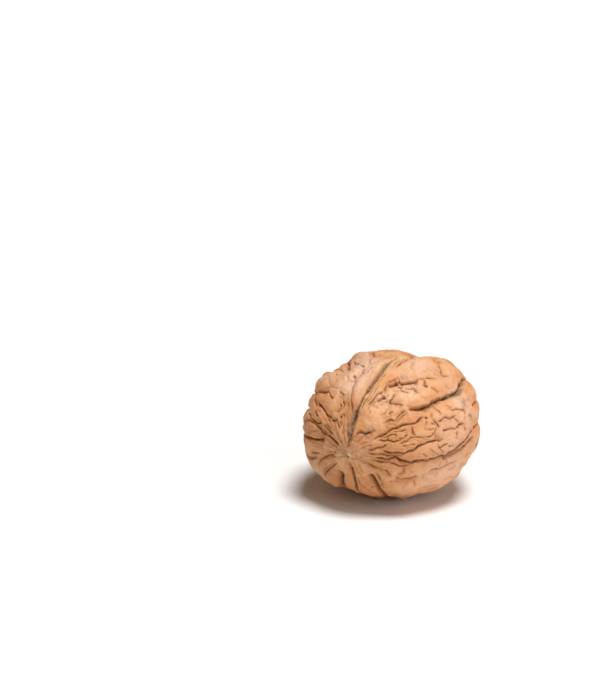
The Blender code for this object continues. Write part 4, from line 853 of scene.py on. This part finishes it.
def full_shell():
    """The whole shell before it is thinned, with its masks and the run of its fibres as attributes."""
    bm = bmesh.new()
    bmesh.ops.create_icosphere(bm, subdivisions=SPHERE_SUBDIVISIONS, radius=1.0)
    split_at_creases(bm)
    directions = np.array([vertex.co.normalized() for vertex in bm.verts])
    places, masks = shape_nut(directions)
    for vertex, place in zip(bm.verts, places):
        vertex.co = place
    bm.transform(tilt())
    mesh = bpy.data.meshes.new("shell_full")
    bm.to_mesh(mesh)
    bm.free()
    for name, values in masks.items():
        mesh.attributes.new(name, "FLOAT", "POINT").data.foreach_set("value", values)
    around = directions / np.maximum(np.hypot(directions[:, 0], directions[:, 2]), 1e-6)[:, None]
    fibres = np.stack((around[:, 0], around[:, 2], directions[:, 1]), axis=1)
    mesh.attributes.new("fibres", "FLOAT_VECTOR", "POINT").data.foreach_set("vector", fibres.ravel())
    return mesh


def thinned(mesh, triangles):
    """The same surface with fewer triangles, kept close together where it bends most."""
    helper = bpy.data.objects.new("thinning", mesh)
    bpy.context.scene.collection.objects.link(helper)
    decimate = helper.modifiers.new("Decimate", "DECIMATE")
    decimate.ratio = triangles / len(mesh.polygons)
    decimate.use_collapse_triangulate = True
    graph = bpy.context.evaluated_depsgraph_get()
    thin = bpy.data.meshes.new_from_object(helper.evaluated_get(graph))
    bpy.data.objects.remove(helper)
    bpy.data.meshes.remove(mesh)
    return thin


def cut_resting_spot(bm):
    """Takes off what lies below the table and closes the cut with one flat face."""
    cut = bmesh.ops.bisect_plane(
        bm, geom=[*bm.verts, *bm.edges, *bm.faces], plane_co=(0, 0, 0), plane_no=(0, 0, 1), clear_inner=True
    )
    rim = [item for item in cut["geom_cut"] if isinstance(item, bmesh.types.BMEdge)]
    bmesh.ops.edgeloop_fill(bm, edges=rim)
    bmesh.ops.triangulate(bm, faces=[face for face in bm.faces if len(face.verts) > 4])
    bmesh.ops.recalc_face_normals(bm, faces=bm.faces)


shell_mesh = thinned(full_shell(), SHELL_TRIANGLES)
shell_mesh.name = "shell"
bm = bmesh.new()
bm.from_mesh(shell_mesh)
cut_resting_spot(bm)
bm.to_mesh(shell_mesh)
bm.free()
shell_mesh.shade_smooth()
shell = bpy.data.objects.new("shell", shell_mesh)
bpy.context.scene.collection.objects.link(shell)
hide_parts("walnut")
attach(shell, "root")
print("shell:", len(shell_mesh.polygons), "faces and", len(shell_mesh.attributes), "attributes")

# %% [markdown]
# ## The shell's colour
# Small makers of shader nodes keep the material readable. An input may be a plain value or another node's
# output.

# %% Makers of nodes
def fill_inputs(tree, node, inputs):
    for name, value in inputs.items():
        if isinstance(value, bpy.types.NodeSocket):
            tree.links.new(value, node.inputs[name])
        else:
            node.inputs[name].default_value = value


def noise_texture(tree, vector, scale, detail=3.0, distortion=0.0):
    node = tree.nodes.new("ShaderNodeTexNoise")
    fill_inputs(tree, node, {"Vector": vector, "Scale": scale, "Detail": detail, "Distortion": distortion})
    return node.outputs["Fac"]


def in_range(tree, value, low, high):
    """0 below the low value, 1 above the high one, and soft between."""
    node = tree.nodes.new("ShaderNodeMapRange")
    node.interpolation_type = "SMOOTHSTEP"
    fill_inputs(tree, node, {"Value": value, "From Min": low, "From Max": high})
    return node.outputs["Result"]


def sums(tree, operation, first, second=0.0):
    node = tree.nodes.new("ShaderNodeMath")
    node.operation = operation
    for socket, value in zip(node.inputs, (first, second)):
        if isinstance(value, bpy.types.NodeSocket):
            tree.links.new(value, socket)
        else:
            socket.default_value = value
    return node.outputs["Value"]


def blend(tree, factor, first, second):
    """The first colour where the factor is 0, the second where it is 1."""
    node = tree.nodes.new("ShaderNodeMix")
    node.data_type = "RGBA"
    fill_inputs(tree, node, {"Factor": factor, "A": first, "B": second})
    return node.outputs["Result"]


def tinted(tree, colour, mask, strength, tone):
    """The colour with the tone laid over it where the mask is, as strongly as it says."""
    return blend(tree, sums(tree, "MULTIPLY", mask, strength), colour, tone)


def attribute(tree, name):
    node = tree.nodes.new("ShaderNodeAttribute")
    node.attribute_name = name
    return node


def new_group(name, inputs, outputs):
    """An empty shader group; inputs and outputs map a name to a socket type."""
    tree = bpy.data.node_groups.new(name, "ShaderNodeTree")
    for title, kind in inputs.items():
        tree.interface.new_socket(title, in_out="INPUT", socket_type=kind)
    for title, kind in outputs.items():
        tree.interface.new_socket(title, in_out="OUTPUT", socket_type=kind)
    return tree, tree.nodes.new("NodeGroupInput").outputs, tree.nodes.new("NodeGroupOutput").inputs


def use_group(tree, group, **inputs):
    node = tree.nodes.new("ShaderNodeGroup")
    node.node_tree = group
    fill_inputs(tree, node, inputs)
    return node.outputs


# %% [markdown]
# Clean shell is tan, with pinkish and yellower patches a few millimetres wide, faint streaks that run
# from scar to tip, and small freckles.

# %% The tones of clean shell
TAN = (0.635, 0.285, 0.105, 1)
PINKISH = (0.60, 0.235, 0.100, 1)
YELLOWISH = (0.69, 0.37, 0.165, 1)
FRECKLE = (0.38, 0.14, 0.042, 1)


def shell_tones():
    kinds = {"Place": "NodeSocketVector", "Fibres": "NodeSocketVector"}
    tree, inputs, outputs = new_group("shell_tones", kinds, {"Colour": "NodeSocketColor"})
    pink = in_range(tree, noise_texture(tree, inputs["Place"], 190.0, 3.0, 0.4), 0.38, 0.70)
    colour = tinted(tree, TAN, pink, 0.75, PINKISH)
    yellow = in_range(tree, noise_texture(tree, inputs["Place"], 330.0, 4.0, 0.6), 0.48, 0.74)
    colour = tinted(tree, colour, yellow, 0.6, YELLOWISH)
    streaks = in_range(tree, noise_texture(tree, inputs["Fibres"], 26.0, 3.0), 0.55, 0.75)
    colour = tinted(tree, colour, streaks, 0.35, PINKISH)
    freckles = in_range(tree, noise_texture(tree, inputs["Place"], 1700.0, 2.0), 0.64, 0.76)
    colour = tinted(tree, colour, freckles, 0.35, FRECKLE)
    tree.links.new(colour, outputs["Colour"])
    return tree


SHELL_TONES = shell_tones()

# %% [markdown]
# The creases carry painted shade, warm brown at their bottom and reddish on their slopes, and the
# hair-thin cracks a reddish painted shade. The pillow tops carry a cream painted highlight. Dirt is dark
# brown in the slit of the seam and grey-green in the lower part of the great crease, where the husk rotted,
# with paler crumbs in it.

# %% Painted shade in the creases, a painted highlight on the tops, dirt, crumples and ends
PALE = (0.81, 0.54, 0.38, 1)
# painted highlight for the tops of the pillows
HIGHLIGHT_CREAM = (0.76, 0.44, 0.245, 1)
# painted shade along the hair-thin cracks
CRACK_SHADE = (0.40, 0.135, 0.042, 1)
# painted shade for the slopes of the creases
SLOPE_SHADE = (0.42, 0.150, 0.045, 1)
# painted shade for the floors of the creases
BOTTOM_SHADE = (0.22, 0.075, 0.028, 1)
DIRT = (0.115, 0.078, 0.046, 1)
HUSK = (0.095, 0.095, 0.060, 1)
PAPER = (0.74, 0.52, 0.30, 1)
SCAR = (0.16, 0.075, 0.035, 1)
GREY = (0.20, 0.165, 0.13, 1)
SEAM_PALE = (0.82, 0.59, 0.33, 1)
SEAM_OLIVE = (0.66, 0.44, 0.21, 1)
CRUMB = (0.46, 0.30, 0.16, 1)
BROWN = (0.36, 0.155, 0.07, 1)
TUFT = (0.82, 0.52, 0.27, 1)
TUFT_SPECK = (0.20, 0.10, 0.05, 1)
OVER_MASKS = (
    "Painted_highlight", "Pale", "Valley", "Bottom", "Cracks", "Soil", "Husk",
    "Seam", "Crumpled", "Tip", "Scar", "Grey", "Brown",
)


def over_creases():
    kinds = {"Colour": "NodeSocketColor", "Place": "NodeSocketVector"}
    kinds |= {name: "NodeSocketFloat" for name in OVER_MASKS}
    tree, inputs, outputs = new_group("over_creases", kinds, {"Colour": "NodeSocketColor"})
    grain = noise_texture(tree, inputs["Place"], 1300.0, 4.0)
    paper = sums(tree, "MULTIPLY", inputs["Crumpled"], in_range(tree, grain, 0.42, 0.62))
    # painted highlight: the pillow tops lighter and creamier
    colour = tinted(tree, inputs["Colour"], inputs["Painted_highlight"], 0.50, HIGHLIGHT_CREAM)
    colour = tinted(tree, colour, inputs["Pale"], 0.75, PALE)
    colour = tinted(tree, colour, inputs["Brown"], in_range(tree, grain, 0.30, 0.60), BROWN)
    colour = tinted(tree, colour, inputs["Grey"], in_range(tree, grain, 0.36, 0.56), GREY)
    colour = tinted(tree, colour, paper, 0.75, PAPER)
    seam = blend(tree, in_range(tree, grain, 0.40, 0.60), SEAM_OLIVE, SEAM_PALE)
    colour = tinted(tree, colour, inputs["Seam"], 0.80, seam)
    # painted shade on the slopes of the creases
    colour = tinted(tree, colour, inputs["Valley"], 0.45, SLOPE_SHADE)
    # painted shade along the hair-thin cracks
    colour = tinted(tree, colour, inputs["Cracks"], 0.50, CRACK_SHADE)
    # painted shade on the floors of the creases
    colour = tinted(tree, colour, inputs["Bottom"], 0.85, BOTTOM_SHADE)
    dirt = blend(tree, inputs["Husk"], DIRT, HUSK)
    crumbs = in_range(tree, noise_texture(tree, inputs["Place"], 2300.0, 2.0), 0.49, 0.58)
    dirt = tinted(tree, dirt, crumbs, 0.75, CRUMB)
    patchy = sums(tree, "MULTIPLY", inputs["Soil"], in_range(tree, grain, 0.28, 0.50))
    colour = tinted(tree, colour, patchy, 0.95, dirt)
    specks = in_range(tree, noise_texture(tree, inputs["Place"], 3300.0, 2.0), 0.53, 0.60)
    tip_colour = blend(tree, specks, TUFT, TUFT_SPECK)
    colour = blend(tree, in_range(tree, inputs["Tip"], 0.25, 0.6), colour, tip_colour)
    scarred = in_range(tree, sums(tree, "MULTIPLY", inputs["Scar"], grain), 0.1, 0.35)
    colour = blend(tree, scarred, colour, SCAR)
    tree.links.new(colour, outputs["Colour"])
    return tree


OVER_CREASES = over_creases()

# %% [markdown]
# The finest grain is bump only: a bent net of hair-fine wrinkles, a rough touch, and streaks from scar to
# tip.

# %% Fine grain
NET_BEND = 0.0011
GRAIN_DEPTH = 0.14 * MM


def fine_grain():
    kinds = {"Place": "NodeSocketVector", "Fibres": "NodeSocketVector"}
    tree, inputs, outputs = new_group("fine_grain", kinds, {"Normal": "NodeSocketVector"})
    bend = tree.nodes.new("ShaderNodeTexNoise")
    fill_inputs(tree, bend, {"Vector": inputs["Place"], "Scale": 900.0, "Detail": 2.0})
    shifted = tree.nodes.new("ShaderNodeVectorMath")
    shifted.operation = "MULTIPLY_ADD"
    shifted.inputs[1].default_value = (NET_BEND, NET_BEND, NET_BEND)
    tree.links.new(bend.outputs["Color"], shifted.inputs[0])
    tree.links.new(inputs["Place"], shifted.inputs[2])
    cells = tree.nodes.new("ShaderNodeTexVoronoi")
    cells.feature = "DISTANCE_TO_EDGE"
    fill_inputs(tree, cells, {"Vector": shifted.outputs["Vector"], "Scale": 620.0})
    net = in_range(tree, cells.outputs["Distance"], 0.0, 0.10)
    grain = noise_texture(tree, inputs["Place"], 3600.0, 3.0)
    streaks = noise_texture(tree, inputs["Fibres"], 60.0, 2.0)
    height = sums(tree, "ADD", sums(tree, "MULTIPLY", net, 0.3), sums(tree, "MULTIPLY", grain, 0.9))
    height = sums(tree, "ADD", height, sums(tree, "MULTIPLY", streaks, 0.5))
    bump = tree.nodes.new("ShaderNodeBump")
    fill_inputs(tree, bump, {"Strength": 1.0, "Distance": GRAIN_DEPTH, "Height": height})
    tree.links.new(bump.outputs["Normal"], outputs["Normal"])
    return tree


FINE_GRAIN = fine_grain()

# %% [markdown]
# The three groups come together in one material. Each mask reaches it as the mesh attribute of that name.

# %% The shell's material
def shell_material():
    material = bpy.data.materials.new("walnut_shell")
    material.use_nodes = True
    tree = material.node_tree
    surface = tree.nodes["Principled BSDF"]
    place = tree.nodes.new("ShaderNodeTexCoord").outputs["Object"]
    fibres = attribute(tree, "fibres").outputs["Vector"]
    clean = use_group(tree, SHELL_TONES, Place=place, Fibres=fibres)["Colour"]
    masks = {name: attribute(tree, name.lower()).outputs["Fac"] for name in OVER_MASKS}
    colour = use_group(tree, OVER_CREASES, Colour=clean, Place=place, **masks)["Colour"]
    fill_inputs(tree, surface, {
        "Base Color": colour,
        "Roughness": 0.50,
        "Specular IOR Level": 0.28,
        "Normal": use_group(tree, FINE_GRAIN, Place=place, Fibres=fibres)["Normal"],
    })
    return material


shell_mesh.materials.append(shell_material())

# %% [markdown]
# ## Floor, light and camera
# A plain pale floor, a broad sun nearly overhead, a weaker and softer one from the side, and a dim warm
# surround. The camera sees the surround as white, so that no dark strip shows beyond the floor.

# %% Floor
floor_mesh = bpy.data.meshes.new("floor")
bm = bmesh.new()
bmesh.ops.create_circle(bm, cap_ends=True, radius=4.0, segments=64)
bm.to_mesh(floor_mesh)
bm.free()
floor = bpy.data.objects.new("floor", floor_mesh)
bpy.context.scene.collection.objects.link(floor)
floor_material = bpy.data.materials.new("pale_floor")
floor_material.use_nodes = True
floor_surface = floor_material.node_tree.nodes["Principled BSDF"]
floor_surface.inputs["Base Color"].default_value = (0.86, 0.86, 0.86, 1)
floor_surface.inputs["Roughness"].default_value = 0.9
floor_surface.inputs["Specular IOR Level"].default_value = 0.2
floor_mesh.materials.append(floor_material)

# %% Lights
def add_sun(name, energy, spread, comes_from):
    light = bpy.data.lights.new(name, "SUN")
    light.energy = energy
    light.angle = math.radians(spread)
    sun = bpy.data.objects.new(name, light)
    bpy.context.scene.collection.objects.link(sun)
    sun.rotation_euler = Vector(comes_from).to_track_quat("Z", "Y").to_euler()


add_sun("overhead", 3.4, 26, (0.22, -0.02, 0.97))
add_sun("side", 1.15, 60, (0.90, -0.30, 0.30))
world = bpy.data.worlds.new("studio")
world.use_nodes = True
surround = world.node_tree.nodes["Background"]
surround.inputs["Color"].default_value = (1.0, 0.77, 0.60, 1)
surround.inputs["Strength"].default_value = 0.14
seen_behind = world.node_tree.nodes.new("ShaderNodeBackground")
seen_behind.inputs["Color"].default_value = (1.0, 1.0, 1.0, 1)
rays = world.node_tree.nodes.new("ShaderNodeLightPath")
either = world.node_tree.nodes.new("ShaderNodeMixShader")
world.node_tree.links.new(rays.outputs["Is Camera Ray"], either.inputs["Fac"])
world.node_tree.links.new(surround.outputs["Background"], either.inputs[1])
world.node_tree.links.new(seen_behind.outputs["Background"], either.inputs[2])
world.node_tree.links.new(either.outputs["Shader"], world.node_tree.nodes["World Output"].inputs["Surface"])
bpy.context.scene.world = world
bpy.context.scene.view_settings.view_transform = "Standard"

# %% Camera
AZIMUTH, ELEVATION = math.radians(28), math.radians(15)
DISTANCE = 0.405
FOCAL_PIXELS = 1800
IMAGE_WIDTH, IMAGE_HEIGHT = 600, 680
NUT_COLUMN, NUT_ROW = 392, 423.5

forward = Vector((
    -math.sin(AZIMUTH) * math.cos(ELEVATION),
    math.cos(AZIMUTH) * math.cos(ELEVATION),
    -math.sin(ELEVATION),
))
right = Vector((math.cos(AZIMUTH), math.sin(AZIMUTH), 0))
up = right.cross(forward)
sideways = (NUT_COLUMN - IMAGE_WIDTH / 2) / FOCAL_PIXELS * DISTANCE
down = (NUT_ROW - IMAGE_HEIGHT / 2) / FOCAL_PIXELS * DISTANCE
camera_data = bpy.data.cameras.new("camera")
camera_data.lens = camera_data.sensor_width * FOCAL_PIXELS / IMAGE_HEIGHT
camera_data.clip_start = 0.01
camera = bpy.data.objects.new("camera", camera_data)
bpy.context.scene.collection.objects.link(camera)
camera.location = NUT_CENTRE - sideways * right + down * up - DISTANCE * forward
camera.rotation_euler = forward.to_track_quat("-Z", "Y").to_euler()
bpy.context.scene.camera = camera
print("lens:", round(camera_data.lens, 2), "mm")
